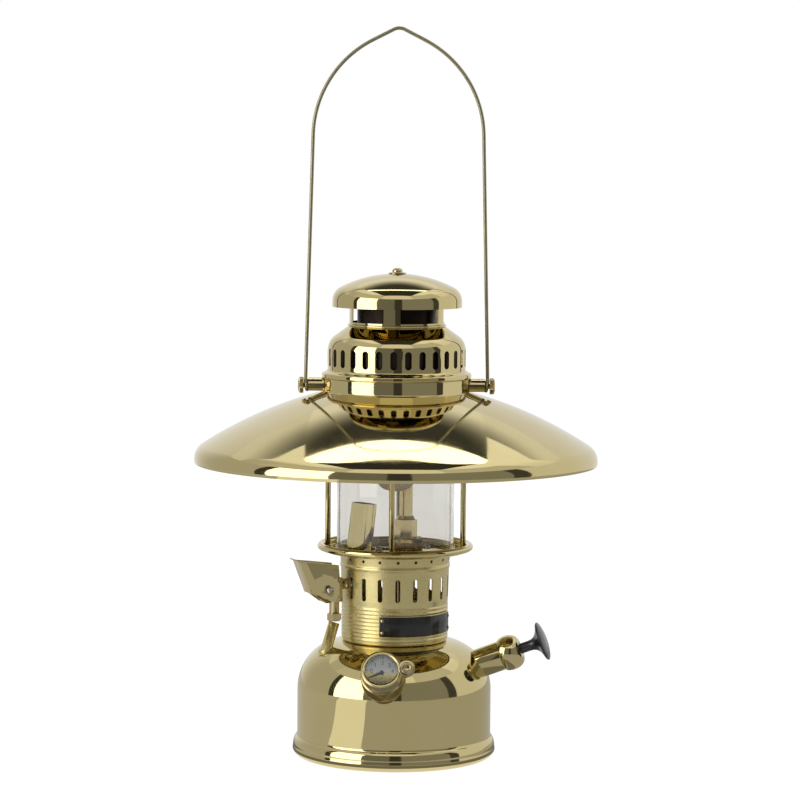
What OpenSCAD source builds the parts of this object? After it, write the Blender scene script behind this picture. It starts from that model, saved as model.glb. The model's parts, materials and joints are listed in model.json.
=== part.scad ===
// Kerosene pressure lantern with shade and wire bail. Millimetres.
// Z points up, the foot stands on z = 0 and the gauge faces -Y.

/* [Tank] */
// Outer diameter of the tank wall
tank_d = 162.4; // [156:0.2:170]
// Outer diameter of the rolled foot
foot_d = 170; // [166:0.5:178]
// Height of the flat tank top
tank_h = 97; // [93:0.5:104]
// Radius of the tank shoulder
shoulder_r = 41; // [39:0.5:43]
// Thickness of the brass sheet
sheet = 0.8; // [0.7:0.05:1.1]

/* [Collar] */
// Diameter of the slotted collar
collar_d = 89.2; // [86:0.2:91]
// Height of the collar
collar_h = 75; // [72:0.5:80]
// Number of tall slots round the collar
collar_slots = 19; // [17:1:21]
// Width of a collar slot
collar_slot_w = 4.1; // [3:0.1:5]
// Height of a collar slot
collar_slot_h = 19; // [14:0.5:21]
// Span of the label plate in degrees
label_span = 96; // [70:1:110]
// Height of the label plate
label_h = 16; // [10:0.5:18]

/* [Cage] */
// Outer diameter of the rolled floor rim
flange_d = 130.2; // [129:0.2:136]
// Diameter of the rolled rim's bead
rim_bead_d = 6; // [5:0.2:7]
// Free height between floor and top ring
cage_h = 129; // [124:0.2:138]
// Diameter of a cage rod
rod_d = 4.6; // [4:0.1:5]
// Diameter of the circle the rods stand on
rod_circle_d = 113.2; // [112:0.2:114]
// Outer diameter of the glass globe
globe_d = 97.9; // [94:0.1:98.4]
// Wall of the glass globe
globe_wall = 2.2; // [1.6:0.1:2.6]
// Gap above the glass globe
globe_gap = 2.8; // [1.5:0.1:4]

/* [Shade] */
// Outer diameter of the shade
shade_d = 336.8; // [320:1:350]
// Outer diameter of the shade's neck
shade_neck_d = 120.4; // [119.4:0.2:121.4]
// Height of the shade's neck
shade_neck_h = 12.9; // [12:0.1:15]
// Slope of the shade at its neck
shade_slope_in = 14.6; // [12:0.2:17]
// Slope of the shade before its rim
shade_slope_out = 33; // [29:0.5:35]
// Radius of the turned-down rim
shade_rim_r = 14; // [9:0.5:18]

/* [Hood] */
// Diameter of the hood wall
hood_d = 115; // [114:0.2:117]
// Height of the hood from its seat to the shoulder
hood_wall_h = 23.9; // [23:0.1:28]
// Radius of the hood shoulder
hood_shoulder_r = 14; // [11:0.5:15]
// Number of hood slots
hood_slots = 30; // [24:1:32]
// Width of a hood slot
hood_slot_w = 5.5; // [4:0.1:6]
// Height of a hood slot
hood_slot_h = 15; // [11:0.5:15.5]
// Diameter of the hood neck
neck_d = 79.4; // [76:0.1:82]
// Number of windows in the neck
neck_windows = 5; // [4:1:6]
// Share of the neck's girth that is open
neck_open = 0.72; // [0.5:0.01:0.78]
// Diameter of the mushroom cap
cap_d = 108.2; // [104:0.2:112]
// Height of the cap's rim above the neck's root
cap_lift = 15.5; // [13:0.1:20]
// Radius of the cap's edge
cap_edge_r = 13; // [11:0.5:14]
// Steepness in degrees at which the cap's edge meets its crown
cap_edge_angle = 63; // [60:0.5:68]

/* [Bail] */
// Diameter of the bail wire
bail_wire_d = 3; // [2.6:0.1:3.4]
// Height of the bail's top above its pivot
bail_h = 297.7; // [280:0.5:310]
// Radius of the bail's bends
bail_bend_r = 90; // [80:1:95]
// Slope of the bail's roof
bail_roof = 27; // [24:0.5:30]
// Lean of the bail's legs
bail_lean = 1.4; // [1:0.1:1.8]
// Diameter of the thumb screw shafts
screw_d = 4.4; // [4:0.1:4.6]
// Diameter of the thumb screw heads
screw_head_d = 13.4; // [12:0.2:14]

/* [Pump] */
// Bearing of the pump, measured from +X
pump_az = -8; // [-14:1:-2]
// Tilt of the pump above level
pump_tilt = 21; // [18:0.5:24]
// Place of the pump on the tank shoulder
pump_seat = 35; // [32:0.5:38]
// Diameter of the visible pump sleeve
pump_d = 24.5; // [23:0.1:25]
// Inner diameter of the barrel
pump_bore = 18.4; // [16:0.1:19]
// Length of the sleeve outside the tank
pump_reach = 18; // [16:0.5:22]
// Stroke of the plunger
pump_stroke = 70; // [55:1:74]
// Diameter of the pump knob
knob_d = 33; // [30:0.5:36]

/* [Filler] */
// Bearing of the filler cap, measured from +X
filler_az = -96; // [-100:0.5:-92]
// Tilt of the filler cap above level
filler_tilt = 36; // [33:0.5:40]
// Place of the filler on the tank shoulder
filler_seat = 24; // [21:0.5:28]
// Diameter of the filler cap
filler_d = 36; // [35:0.2:38]
// Height of the filler cap
filler_h = 25; // [24.6:0.2:28]
// Diameter of the vent screw's head
vent_head_d = 14; // [12:0.1:15]

/* [Preheater] */
// Bearing of the preheater, measured from +X
pre_az = 203; // [200:0.5:206]
// Diameter of the preheater tube
pre_tube_d = 9.3; // [8:0.1:10]
// Reach of the lever from its pin
lever_l = 25.4; // [24:0.2:27]
// Width over the lever's cheeks
lever_w = 17; // [16.6:0.1:18]
// Diameter of the lever's hinge pin
lever_pin_d = 3.2; // [2.6:0.1:3.4]
// Diameter of the flame tube
flame_d = 21; // [18:0.5:22]
// Height of the flame tube
flame_h = 39; // [34:0.5:42]

/* [Vaporiser] */
// Place of the vaporiser to the right of the axis
vap_x = 9; // [6:0.5:10]
// Place of the vaporiser behind the axis
vap_y = 26; // [25:0.5:27]
// Diameter of the vaporiser tube
vap_d = 11.3; // [10:0.1:12]
// Throw of the cleaning rod's eccentric
throw = 1.2; // [0.8:0.1:1.3]
// Diameter of the handwheel
wheel_d = 30; // [27:0.5:32]
// Diameter of the mantle
mantle_d = 36; // [32:0.5:38]
// Height of the mantle
mantle_h = 60; // [54:0.5:64]

/* [Fits] */
// Radial gap of a turning or sliding shaft
run_gap = 0.08; // [0.05:0.01:0.1]
// Radial gap between pieces that pass each other
pass_gap = 0.35; // [0.32:0.01:0.45]
// Radial gap of a soldered or pressed seat
seat_gap = 0.05; // [0.02:0.01:0.08]

/* [Hidden] */
$fn = 72;
brass = "#d8c47a";
steel = "#b9b9b4";
black = "#1d2026";

// Levels from the ground up
tank_r = tank_d / 2;
z_top = tank_h;
z_floor = z_top + collar_h;
z_deck = z_floor + sheet;
z_ring = z_deck + cage_h;
ring_t = 2;
z_seat = z_ring + ring_t;
z_hood = z_seat + shade_neck_h;
z_pivot = z_hood - 6.4;

// Tank
wall_in = tank_r - sheet;
shoulder_z = tank_h - shoulder_r;
foot_bead = 6;
bottom_z = 18;

// Nested rings at the top of the cage
neck_sheet = 1.6;
shade_neck_r = shade_neck_d / 2;
ring_out = shade_neck_r - neck_sheet - 0.3;
ring_wall = 1.6;
skirt_out = ring_out - ring_wall - 0.4;
skirt_t = 1.3;
plate_r = skirt_out - skirt_t - 0.3;
liner_r = plate_r - 1;

// Hood
hood_r = hood_d / 2;
neck_r = neck_d / 2;
rim_out = hood_r + 4.9;
wall_z = z_hood + 7.8;
shoulder_z0 = z_hood + hood_wall_h;
cone_slope = 35.6;
cone_r = hood_r - hood_shoulder_r * (1 - sin(cone_slope));
cone_z = shoulder_z0 + hood_shoulder_r * cos(cone_slope);
z_neck = cone_z + (cone_r - neck_r) * tan(cone_slope);
z_cap = z_neck + cap_lift;
cap_r = cap_d / 2;
edge_z = z_cap + 4.9;
crown_r0 = cap_r - cap_edge_r * (1 - cos(cap_edge_angle));
crown_z0 = edge_z + cap_edge_r * sin(cap_edge_angle);
crown_r = crown_r0 / cos(cap_edge_angle);
crown_cz = crown_z0 - crown_r * sin(cap_edge_angle);
z_crown = crown_cz + crown_r;

// Shade
shade_r = shade_d / 2;
shade_z = z_seat + 1.8;
shade_end_r = shade_r - shade_rim_r * (1 - sin(shade_slope_out));
shade_big_r = (shade_end_r - shade_neck_r) / (sin(shade_slope_out) - sin(shade_slope_in));
shade_end_z = shade_z - shade_big_r * (cos(shade_slope_in) - cos(shade_slope_out));

// Bail, solved so that its two halves meet over the axis
eye_bore = screw_d / 2 + run_gap;
eye_r = eye_bore + 2.8;
eye_t = 2.8;
eye_x = shade_neck_r + 14.2;
bail_x = eye_x + eye_t / 2;
bail_peak_r = 10;
bail_t0 = 90 + bail_lean;
bail_t1 = 180 - bail_roof;
bail_arc_x = bail_bend_r * (sin(bail_t1) - sin(bail_t0));
bail_arc_z = bail_bend_r * (cos(bail_t0) - cos(bail_t1));
bail_peak_x = -bail_peak_r * sin(bail_t1);
bail_peak_z = bail_peak_r * (cos(bail_t1) + 1);
bail_need_x = bail_x + bail_arc_x + bail_peak_x;
bail_need_z = bail_h - bail_wire_d / 2 - bail_arc_z - bail_peak_z;
bail_roof_l = (bail_need_x - bail_need_z * tan(bail_lean)) /
    (cos(bail_roof) - sin(bail_roof) * tan(bail_lean));
bail_leg_l = (bail_need_z - bail_roof_l * sin(bail_roof)) / cos(bail_lean);
// Bends are a step thinner than the straights, which lap into them
lap = 0.2;
step = 0.02;
// Thumb screws, from inside the skirt to outside the eye
screw_x0 = skirt_out - 1.1;
head_x = eye_x + eye_t + 0.35;
bush_r = 6.3;
bush_l = eye_x - shade_neck_r - 1;

// Holes and screws in the cage floor
vent_circle = 36;
vent_r = 4;
floor_screw_r = 1.6;
floor_spots = vent_circle * [[-0.389, 0.361], [0.75, 0.861], [0.222, -0.611]];

// Pump, measured along its own axis from the tank shoulder
pump_r = pump_d / 2;
barrel_in = pump_bore / 2;
barrel_out = barrel_in + 1.2;
barrel_end = -(pump_stroke + 16);
cap_nut_l = 17.5;
pump_top = pump_reach + cap_nut_l;
piston_s = barrel_end + 8;
rod_r = 2.5;
knob_neck_r = 4.35;

// Filler, measured along its own axis from the tank shoulder
filler_r = filler_d / 2;
case_r = filler_r - 1.4;
filler_neck_r = filler_r - 4.4;
// The cap's skirt clears the shoulder, which rises above the filler's foot on the side of the axis
filler_z0 = shoulder_r * (1 - cos(filler_tilt - filler_seat)) + 1.2;
filler_root = 16;
filler_skirt = filler_h - 10.6;
gauge_floor = filler_h - 6;
gauge_r = case_r - 1.7;
vent_tilt = 10;
vent_dip = 13;
vent_y = filler_r - 0.5;
vent_z = filler_h - 13;
vent_stem_r = 1.7;

// Preheater, measured in its own upright plane
pre_seat = 58;
pre_r0 = tank_r - shoulder_r + shoulder_r * cos(pre_seat);
pre_z0 = shoulder_z + shoulder_r * sin(pre_seat);
pin_r0 = collar_d / 2 + 17.4;
pin_z = z_floor - 29.4;
pre_r1 = pin_r0 - 7.4;
pre_z1 = pin_z - 28.6;
pre_lean = atan2(pre_r0 - pre_r1, pre_z1 - pre_z0);
pre_len = norm([pre_r0 - pre_r1, pre_z1 - pre_z0]);
pre_rise = pre_tube_d / 2 * abs(sin(pre_lean));
pre_nut_z = pre_z1 + pre_rise + seat_gap;
pre_nut_h = 6.2;
pre_hex = pre_tube_d + 1.6;
pre_root = 7;
dip_r = 2.5;
dip_gap = 8;
valve_z0 = pin_z - 10.6;
valve_z1 = pin_z + 9.4;
valve_u0 = pin_r0 - 12.4;
valve_u1 = pin_r0 + 3.6;
spindle_u = pin_r0 - 5.9;
pipe_z = pin_z + 3.4;
pipe_r = 4.5;
flame_r = flame_d / 2;
flame_u = globe_d / 2 - globe_wall - flame_r - 3.85;
flame_lean = 6.3;
lever_t = 1.2;

// Vaporiser
block_r = 11;
base_hex = 24;
block_z0 = z_top + 8;
block_z1 = z_top + 26;
spindle_z = z_top + 17;
spindle_r = 2.5;
cavity_r = 5.5;
body_r = 7;
union_l = 18;
union_z0 = z_floor + union_l / 2;
union_z1 = union_z0 + union_l;
body_top = z_floor + union_l;
vap_r = vap_d / 2;
jet_drop = 40;
vap_top = z_ring - jet_drop;
jet_h = 8;
jet_top = vap_top + jet_h;
ecc_r = 0.8;
pickup_r = 4;
pickup_gap = 6;

// Burner
plate_z = z_seat + 2.2;
plate_t = 1.2;
chamber_r = 15;
chamber_z = plate_z - 14;
nozzle_z = chamber_z - 10;
mantle_z = nozzle_z - mantle_h;
nozzle_r = 9;
mix_r = 6.5;
mix_span = norm([vap_x, vap_y]);
mix_az = atan2(vap_y, vap_x);
mix_rise = 16;
mix_z = plate_z + mix_rise;

// Points of an arc about (x, z) with n steps
function arc(x, z, r, a0, a1, n) = [
    for (i = [0:n]) [x + r * cos(a0 + (a1 - a0) * i / n), z + r * sin(a0 + (a1 - a0) * i / n)]];

function unit(v) = v / norm(v);

function reversed(p) = [for (i = [len(p) - 1:-1:0]) p[i]];

// A line of points moved sideways, to the left of its own direction
function moved(p, d) = [
    for (i = [0:len(p) - 1])
        let (
            a = i > 0 ? unit(p[i] - p[i - 1]) : unit(p[1] - p[0]),
            b = i < len(p) - 1 ? unit(p[i + 1] - p[i]) : a,
            n = [-a[1], a[0]],
            m = unit(n + [-b[1], b[0]])
        ) p[i] + m * d / (m * n)];

// Sheet metal spun from one line of points, thickened to the left of the line
module spun(p, t) {
    rotate_extrude() polygon(concat(p, reversed(moved(p, t))));
}

// A plain ring
module ring(r_in, r_out, h) {
    difference() {
        cylinder(r = r_out, h = h);
        translate([0, 0, -1]) cylinder(r = r_in, h = h + 2);
    }
}

// A hexagon prism measured across its flats
module hexagon(across, h) {
    cylinder(r = across / sqrt(3), h = h, $fn = 6);
}

// Frame whose Z leaves the tank shoulder at a bearing, a seat angle and a tilt
module on_shoulder(az, seat, tilt) {
    rotate([0, 0, az])
        translate([tank_r - shoulder_r + shoulder_r * cos(seat), 0,
            shoulder_z + shoulder_r * sin(seat)])
            rotate([0, 90 - tilt, 0]) children();
}

module on_pump() {
    on_shoulder(pump_az, pump_seat, pump_tilt) children();
}

module on_filler() {
    on_shoulder(filler_az, filler_seat, filler_tilt) children();
}

// Frame of the vent screw on the filler cap
module on_vent() {
    on_filler() translate([-3, vent_y, vent_z]) rotate([-vent_tilt, vent_dip, 0]) children();
}

// Upright plane of the preheater: X runs outwards
module on_preheater() {
    rotate([0, 0, pre_az]) children();
}

// Frame of the preheater tube, Z up along the tube
module on_pre_tube() {
    on_preheater() translate([pre_r0, 0, pre_z0]) rotate([0, -pre_lean, 0]) children();
}

// Cutter for an upright slot with round ends, pointing along X
module slot_cutter(w, h, r0, r1) {
    translate([r0, 0, 0]) rotate([90, 0, 90]) linear_extrude(r1 - r0) {
        square([w, h - w], center = true);
        for (s = [-1, 1]) translate([0, s * (h - w) / 2]) circle(d = w, $fn = 24);
    }
}

// Tank and foot

module tank() {
    foot_r = foot_d / 2 - foot_bead;
    line = concat(
        [[0, z_top]],
        arc(tank_r - shoulder_r, shoulder_z, shoulder_r, 90, 0, 12),
        [[tank_r, bottom_z], [tank_r + 0.4, bottom_z - 1.4], [tank_r + 1.5, bottom_z - 2.4],
         [tank_r + 2.6, bottom_z - 4.2], [foot_r + 5.5, foot_bead + 4.4]],
        arc(foot_r, foot_bead, foot_bead, 20, -90, 8),
        [[foot_r - 4, 0]]);
    color(brass) difference() {
        rotate_extrude() polygon(concat(line, reversed(moved(line, -sheet))));
        translate([vap_x, vap_y, z_top - 10]) cylinder(r = block_r - 3, h = 20);
        on_pump() translate([0, 0, -16]) cylinder(r = pump_r + seat_gap, h = 40);
        on_filler() translate([0, 0, -filler_root - 2]) cylinder(r = filler_neck_r + seat_gap, h = 40);
        on_pre_tube() translate([0, 0, -10]) cylinder(d = pre_tube_d + 2 * seat_gap, h = 20);
    }
}

module tank_bottom() {
    r = wall_in - seat_gap;
    color(brass) spun(concat([[0, bottom_z + 3]], [[r - 14, bottom_z + 3], [r - 8, bottom_z + 1.2],
        [r - 2.5, bottom_z + 1.2], [r - sheet, bottom_z + 2.5], [r - sheet, bottom_z + 6]]), -sheet);
}

// Filler cap with its gauge

// Outer form of the tank, grown by a gap, for what is cut to sit on it
module tank_form(gap) {
    rotate_extrude() polygon(concat([[0, z_top + gap]],
        arc(tank_r - shoulder_r, shoulder_z, shoulder_r + gap, 90, 0, 12),
        [[tank_r + gap, bottom_z + 2], [0, bottom_z + 2]]));
}

module filler_neck() {
    color(brass) {
        on_filler() translate([0, 0, -filler_root])
            ring(filler_neck_r - 2.2, filler_neck_r, filler_z0 + 3.6 + filler_root);
        difference() {
            on_filler() translate([0, 0, -filler_root])
                ring(filler_neck_r - 0.2, filler_neck_r + 1.6, filler_z0 - 0.5 + filler_root);
            tank_form(seat_gap);
        }
    }
}

module filler_gasket() {
    color(black) on_filler() translate([0, 0, filler_z0 + 3.6])
        ring(filler_neck_r - 3, filler_neck_r - 0.2, 1.55);
}

module filler_cap() {
    color(brass) difference() {
        union() {
            on_filler() translate([0, 0, filler_z0]) cylinder(r = filler_r, h = filler_skirt);
            on_filler() translate([0, 0, filler_z0 + 6]) cylinder(r = case_r, h = filler_h - filler_z0 - 6);
            on_vent() translate([0, 0, -2]) cylinder(r = vent_stem_r + 1.3, h = 19.5);
        }
        on_filler() translate([0, 0, filler_z0 - 1.4]) cylinder(r = filler_neck_r + pass_gap, h = 6.6);
        on_filler() translate([0, 0, gauge_floor]) cylinder(r = gauge_r, h = 20);
        on_vent() translate([0, 0, 4]) cylinder(r = vent_stem_r + run_gap, h = 30);
    }
}

module gauge_dial() {
    color(steel) on_filler() translate([0, 0, gauge_floor]) cylinder(r = gauge_r - seat_gap, h = 0.8);
}

module gauge_needle() {
    color(black) on_filler() translate([0, 0, gauge_floor + 1.4]) {
        cylinder(r = 1.6, h = 0.8);
        rotate([0, 0, 25]) translate([-0.5, -gauge_r + 3, 0]) cube([1, gauge_r - 3, 0.6]);
    }
}

module gauge_glass() {
    color("#cfe3e8", 0.5) on_filler() translate([0, 0, filler_h - 1.8])
        cylinder(r = gauge_r - seat_gap, h = 1.8);
}

module gauge_bezel() {
    color(brass) on_filler() translate([0, 0, filler_h + 0.02]) ring(gauge_r - 1.6, case_r, 1.6);
}

module vent_screw() {
    color(brass) on_vent() {
        translate([0, 0, 6]) cylinder(r = vent_stem_r, h = 13);
        translate([0, 0, 18]) cylinder(d = vent_head_d, h = 5);
        translate([0, 0, 23]) cylinder(d1 = vent_head_d - 4, d2 = 4, h = 1.4);
    }
}

// Pump

module pump_barrel() {
    color(brass) on_pump() difference() {
        union() {
            translate([0, 0, -14]) cylinder(r = pump_r, h = pump_reach + 14);
            translate([0, 0, barrel_end]) cylinder(r = barrel_out, h = pump_top - 6 - barrel_end);
        }
        translate([0, 0, barrel_end + 2]) cylinder(r = barrel_in, h = 200);
        translate([0, 0, barrel_end - 1]) cylinder(r = 2.5, h = 5);
    }
}

module pump_check_valve() {
    color(brass) on_pump() difference() {
        union() {
            translate([0, 0, barrel_end - 10]) cylinder(r = 6.5, h = 10);
            translate([0, 0, barrel_end]) cylinder(r = 2.5 - seat_gap, h = 2);
        }
        translate([0, 0, barrel_end - 11]) cylinder(r = 1.2, h = 14);
    }
}

module pump_cap() {
    color(brass) on_pump() difference() {
        union() {
            rotate_extrude() translate([0, pump_reach]) polygon([[0, 0], [pump_r + 0.8, 0], [pump_r + 1.9, 2.4],
                [pump_r + 2.5, 5.6], [pump_r + 2.5, 8.4], [pump_r + 1.9, 11.6], [pump_r + 0.6, 14.4],
                [pump_r - 1.4, cap_nut_l - 1], [pump_r - 4, cap_nut_l], [0, cap_nut_l]]);
        }
        translate([0, 0, pump_reach - 1]) cylinder(r = barrel_out + seat_gap, h = cap_nut_l - 5);
        translate([0, 0, pump_reach]) cylinder(r = knob_neck_r + pass_gap, h = cap_nut_l + 2);
    }
}

module pump_rod() {
    color(steel) on_pump() translate([0, 0, piston_s]) cylinder(r = rod_r, h = pump_top + 14 - piston_s);
}

module pump_leather() {
    r = barrel_in - run_gap;
    color("#6b4a2b") on_pump() translate([0, 0, piston_s + 1]) difference() {
        cylinder(r = r, h = 7);
        translate([0, 0, 1.6]) cylinder(r = r - 1.6, h = 8);
        translate([0, 0, -1]) cylinder(r = rod_r + seat_gap, h = 4);
    }
}

module pump_nut() {
    color(brass) on_pump() difference() {
        union() {
            translate([0, 0, piston_s + 2.6]) cylinder(r = barrel_in - 2.4, h = 1.2);
            translate([0, 0, piston_s + 3.8]) hexagon(9, 3.5);
            translate([0, 0, piston_s - 3]) hexagon(9, 4);
        }
        translate([0, 0, piston_s]) cylinder(r = rod_r + seat_gap, h = 10);
    }
}

module pump_knob() {
    k = pump_top;
    r = knob_d / 2;
    color(black) on_pump() difference() {
        rotate_extrude() polygon(concat(
            [[0, k - 3], [knob_neck_r, k - 3], [knob_neck_r, k + 8.5]],
            [[r * 0.3, k + 11.2], [r * 0.4, k + 13.4], [r * 0.56, k + 15.4], [r * 0.76, k + 16.9],
             [r * 0.95, k + 17.9], [r, k + 18.6], [r, k + 19.4], [r * 0.97, k + 20]],
            [[r * 0.75, k + 21.4], [r * 0.45, k + 22.3], [0, k + 22.7]]));
        translate([0, 0, k - 4]) cylinder(r = rod_r + seat_gap, h = 18);
    }
}

// Preheater

module preheater_tube() {
    color(brass) {
        on_pre_tube() translate([0, 0, -pre_root]) cylinder(d = pre_tube_d, h = pre_len + pre_root);
        on_shoulder(pre_az, pre_seat, pre_seat) translate([0, 0, seat_gap])
            cylinder(d1 = pre_tube_d + 4.4, d2 = pre_tube_d + 2, h = 3);
        on_preheater() translate([pre_r0 + 1, 0, bottom_z + dip_gap])
            cylinder(r = dip_r, h = pre_z0 - bottom_z - dip_gap * 1.5);
    }
}

module preheater_nut() {
    color(brass) on_preheater() translate([pre_r1, 0, pre_nut_z]) difference() {
        union() {
            translate([0, 0, 0.8]) hexagon(pre_hex, pre_nut_h - 0.8);
            cylinder(d1 = pre_tube_d + 0.4, d2 = pre_hex, h = 0.8);
        }
        translate([0, 0, -1]) cylinder(r = 1.5, h = 9);
    }
}

module preheater_valve() {
    color(brass) on_preheater() difference() {
        union() {
            translate([pre_r1, 0, pre_nut_z + pre_nut_h])
                cylinder(r = 4.2, h = valve_z0 + 0.6 - pre_nut_z - pre_nut_h);
            translate([valve_u0, -6, valve_z0]) cube([valve_u1 - valve_u0, 12, valve_z1 - valve_z0]);
        }
        translate([spindle_u, 0, pin_z - 5]) cylinder(r = 1.5 + run_gap, h = 30);
        translate([pin_r0, 0, pin_z]) rotate([90, 0, 0])
            cylinder(d = lever_pin_d + 2 * seat_gap, h = 40, center = true);
    }
}

module preheater_spindle() {
    color(steel) on_preheater() translate([spindle_u, 0, 0]) {
        translate([0, 0, pin_z - 4]) cylinder(r = 1.5, h = 20);
        translate([0, 0, valve_z1 + 4.6]) cylinder(r = 3, h = 2.4);
    }
}

module preheater_pin() {
    color(steel) on_preheater() translate([pin_r0, 0, pin_z]) rotate([90, 0, 0]) {
        cylinder(d = lever_pin_d, h = lever_w + 2, center = true);
        for (s = [-1, 1]) translate([0, 0, s * (lever_w / 2 + 1.4)])
            cylinder(d = lever_pin_d + 2.6, h = 1.4, center = true);
    }
}

module preheater_lever() {
    cheek = concat(
        lever_l * [[1, 0.965], [0.47, 0.905], [-0.31, 0.803], [-0.354, 0.315]],
        arc(0, 0, lever_l * 0.42, 150, 262, 7),
        lever_l * [[0.122, -0.433], [0.595, -0.085]]);
    web = lever_l * [[1.046, 0.965], [0.635, -0.105], [0.588, -0.086], [0.992, 0.968]];
    lip = lever_l * [[0.992, 0.945], [1.036, 0.938], [1.14, 0.985], [1.134, 1.03]];
    color(brass) on_preheater() translate([pin_r0, 0, pin_z]) difference() {
        union() {
            for (s = [-1, 1]) translate([0, s * (lever_w - lever_t) / 2, 0]) rotate([90, 0, 0])
                linear_extrude(lever_t, center = true) polygon(cheek);
            rotate([90, 0, 0]) linear_extrude(lever_w, center = true) polygon(web);
            rotate([90, 0, 0]) linear_extrude(lever_w, center = true) polygon(lip);
        }
        rotate([90, 0, 0]) cylinder(d = lever_pin_d + 2 * run_gap, h = 40, center = true);
    }
}

module preheater_pipe() {
    color(brass) on_preheater() {
        translate([flame_u + 1, 0, pipe_z]) rotate([0, 90, 0])
            cylinder(r = pipe_r, h = valve_u0 - flame_u - 1);
        translate([flame_u + 1, 0, pipe_z]) sphere(r = pipe_r);
        translate([flame_u + 1, 0, pipe_z]) cylinder(r = pipe_r, h = 12);
        translate([flame_u + 1, 0, pipe_z + 12]) cylinder(r1 = pipe_r, r2 = 1.6, h = 6);
    }
}

module preheater_flame_tube() {
    z0 = z_deck + flame_r * sin(flame_lean) + 0.05;
    color(brass) on_preheater() translate([flame_u, 0, z0]) rotate([0, -flame_lean, 0])
        ring(flame_r - 1, flame_r, flame_h);
}

// Vaporiser and its control

module on_vaporiser() {
    translate([vap_x, vap_y, 0]) children();
}

module vaporiser_base() {
    color(brass) on_vaporiser() difference() {
        union() {
            translate([0, 0, z_top - 6]) cylinder(r = block_r - 3 - seat_gap, h = 10);
            translate([0, 0, z_top]) hexagon(base_hex, block_z0 - z_top);
            translate([0, 0, block_z0]) cylinder(r = block_r, h = block_z1 - block_z0);
            translate([0, 0, block_z1]) cylinder(r = body_r, h = body_top - block_z1);
        }
        translate([0, 0, spindle_z - 7]) cylinder(r = cavity_r, h = 14);
        translate([0, 0, spindle_z]) cylinder(r = 3, h = 200);
        translate([0, 0, z_top - 7]) cylinder(r = 2, h = 30);
        translate([0, 0, spindle_z]) rotate([-90, 0, 0]) cylinder(r = spindle_r + run_gap, h = 30);
    }
}

module pickup_tube() {
    color(brass) on_vaporiser() translate([0, 0, bottom_z + pickup_gap])
        ring(pickup_r * 0.65, pickup_r, z_top - bottom_z - 2 * pickup_gap);
}

module vaporiser_nut() {
    color(brass) on_vaporiser() difference() {
        union() {
            translate([0, 0, union_z0]) hexagon(16.5, union_z1 - union_z0 - 3);
            translate([0, 0, union_z1 - 3]) cylinder(r1 = 8, r2 = vap_r + 1, h = 3);
        }
        translate([0, 0, union_z0 - 1]) cylinder(r = body_r + seat_gap, h = body_top + 1 - union_z0);
        translate([0, 0, union_z0]) cylinder(r = vap_r + seat_gap, h = 30);
    }
}

module vaporiser_tube() {
    color(brass) on_vaporiser() translate([0, 0, body_top]) ring(3, vap_r, vap_top - body_top);
}

module vaporiser_jet() {
    color(brass) on_vaporiser() difference() {
        union() {
            translate([0, 0, vap_top]) hexagon(8, jet_h / 2);
            translate([0, 0, vap_top + jet_h / 2]) cylinder(r1 = 3.4, r2 = 1.8, h = jet_h / 2);
        }
        translate([0, 0, vap_top - 1]) cylinder(r = 0.8, h = 20);
    }
}

module cleaning_rod() {
    z = spindle_z - throw;
    slot_x = throw + ecc_r + 0.3;
    color(steel) on_vaporiser() {
        difference() {
            translate([-slot_x - 0.9, -2.4, z - 3]) cube([2 * slot_x + 1.8, 5.6, 6]);
            translate([-slot_x, 0.8, z - ecc_r - 0.35]) cube([2 * slot_x, 6, 2 * ecc_r + 0.7]);
        }
        translate([0, 0, z + 2]) cylinder(r = 1.1, h = vap_top - 4 - z - 2);
        translate([0, 0, vap_top - 4]) cylinder(r = 0.35, h = 7);
    }
}

module control_spindle() {
    color(steel) on_vaporiser() translate([0, 0, spindle_z]) rotate([-90, 0, 0]) {
        translate([0, 0, 3.8]) cylinder(r = spindle_r, h = 26);
        translate([0, throw, 1.4]) cylinder(r = ecc_r, h = 3.4);
    }
}

module gland_nut() {
    color(brass) on_vaporiser() translate([0, 0, spindle_z]) rotate([-90, 0, 0]) difference() {
        translate([0, 0, block_r - 1.2]) hexagon(11, 4.8);
        cylinder(r = spindle_r + run_gap, h = 30);
        translate([0, 0, 0]) rotate([90, 0, 0]) cylinder(r = block_r + seat_gap, h = 40, center = true);
    }
}

module handwheel() {
    r = wheel_d / 2;
    color(black) on_vaporiser() translate([0, 23.6, spindle_z]) rotate([-90, 0, 0]) difference() {
        union() {
            cylinder(r = r, h = 6);
            translate([0, 0, -1.2]) cylinder(r = 5, h = 8.4);
        }
        translate([0, 0, -2]) cylinder(r = spindle_r + seat_gap, h = 8.4);
        for (i = [0:9]) rotate([0, 0, i * 36]) translate([r + 2, 0, -1]) cylinder(r = 3.6, h = 8);
        for (i = [0:4]) rotate([0, 0, i * 72]) translate([r * 0.57, 0, -1]) cylinder(r = 2.6, h = 8);
    }
}

module spirit_cup() {
    color(brass) on_vaporiser() spun([[9.9, z_deck + 9], [9.9, z_deck], [13, z_deck],
        [13.8, z_deck + 1], [13.8, z_deck + 9]], 0.8);
}

// Collar and cage

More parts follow.
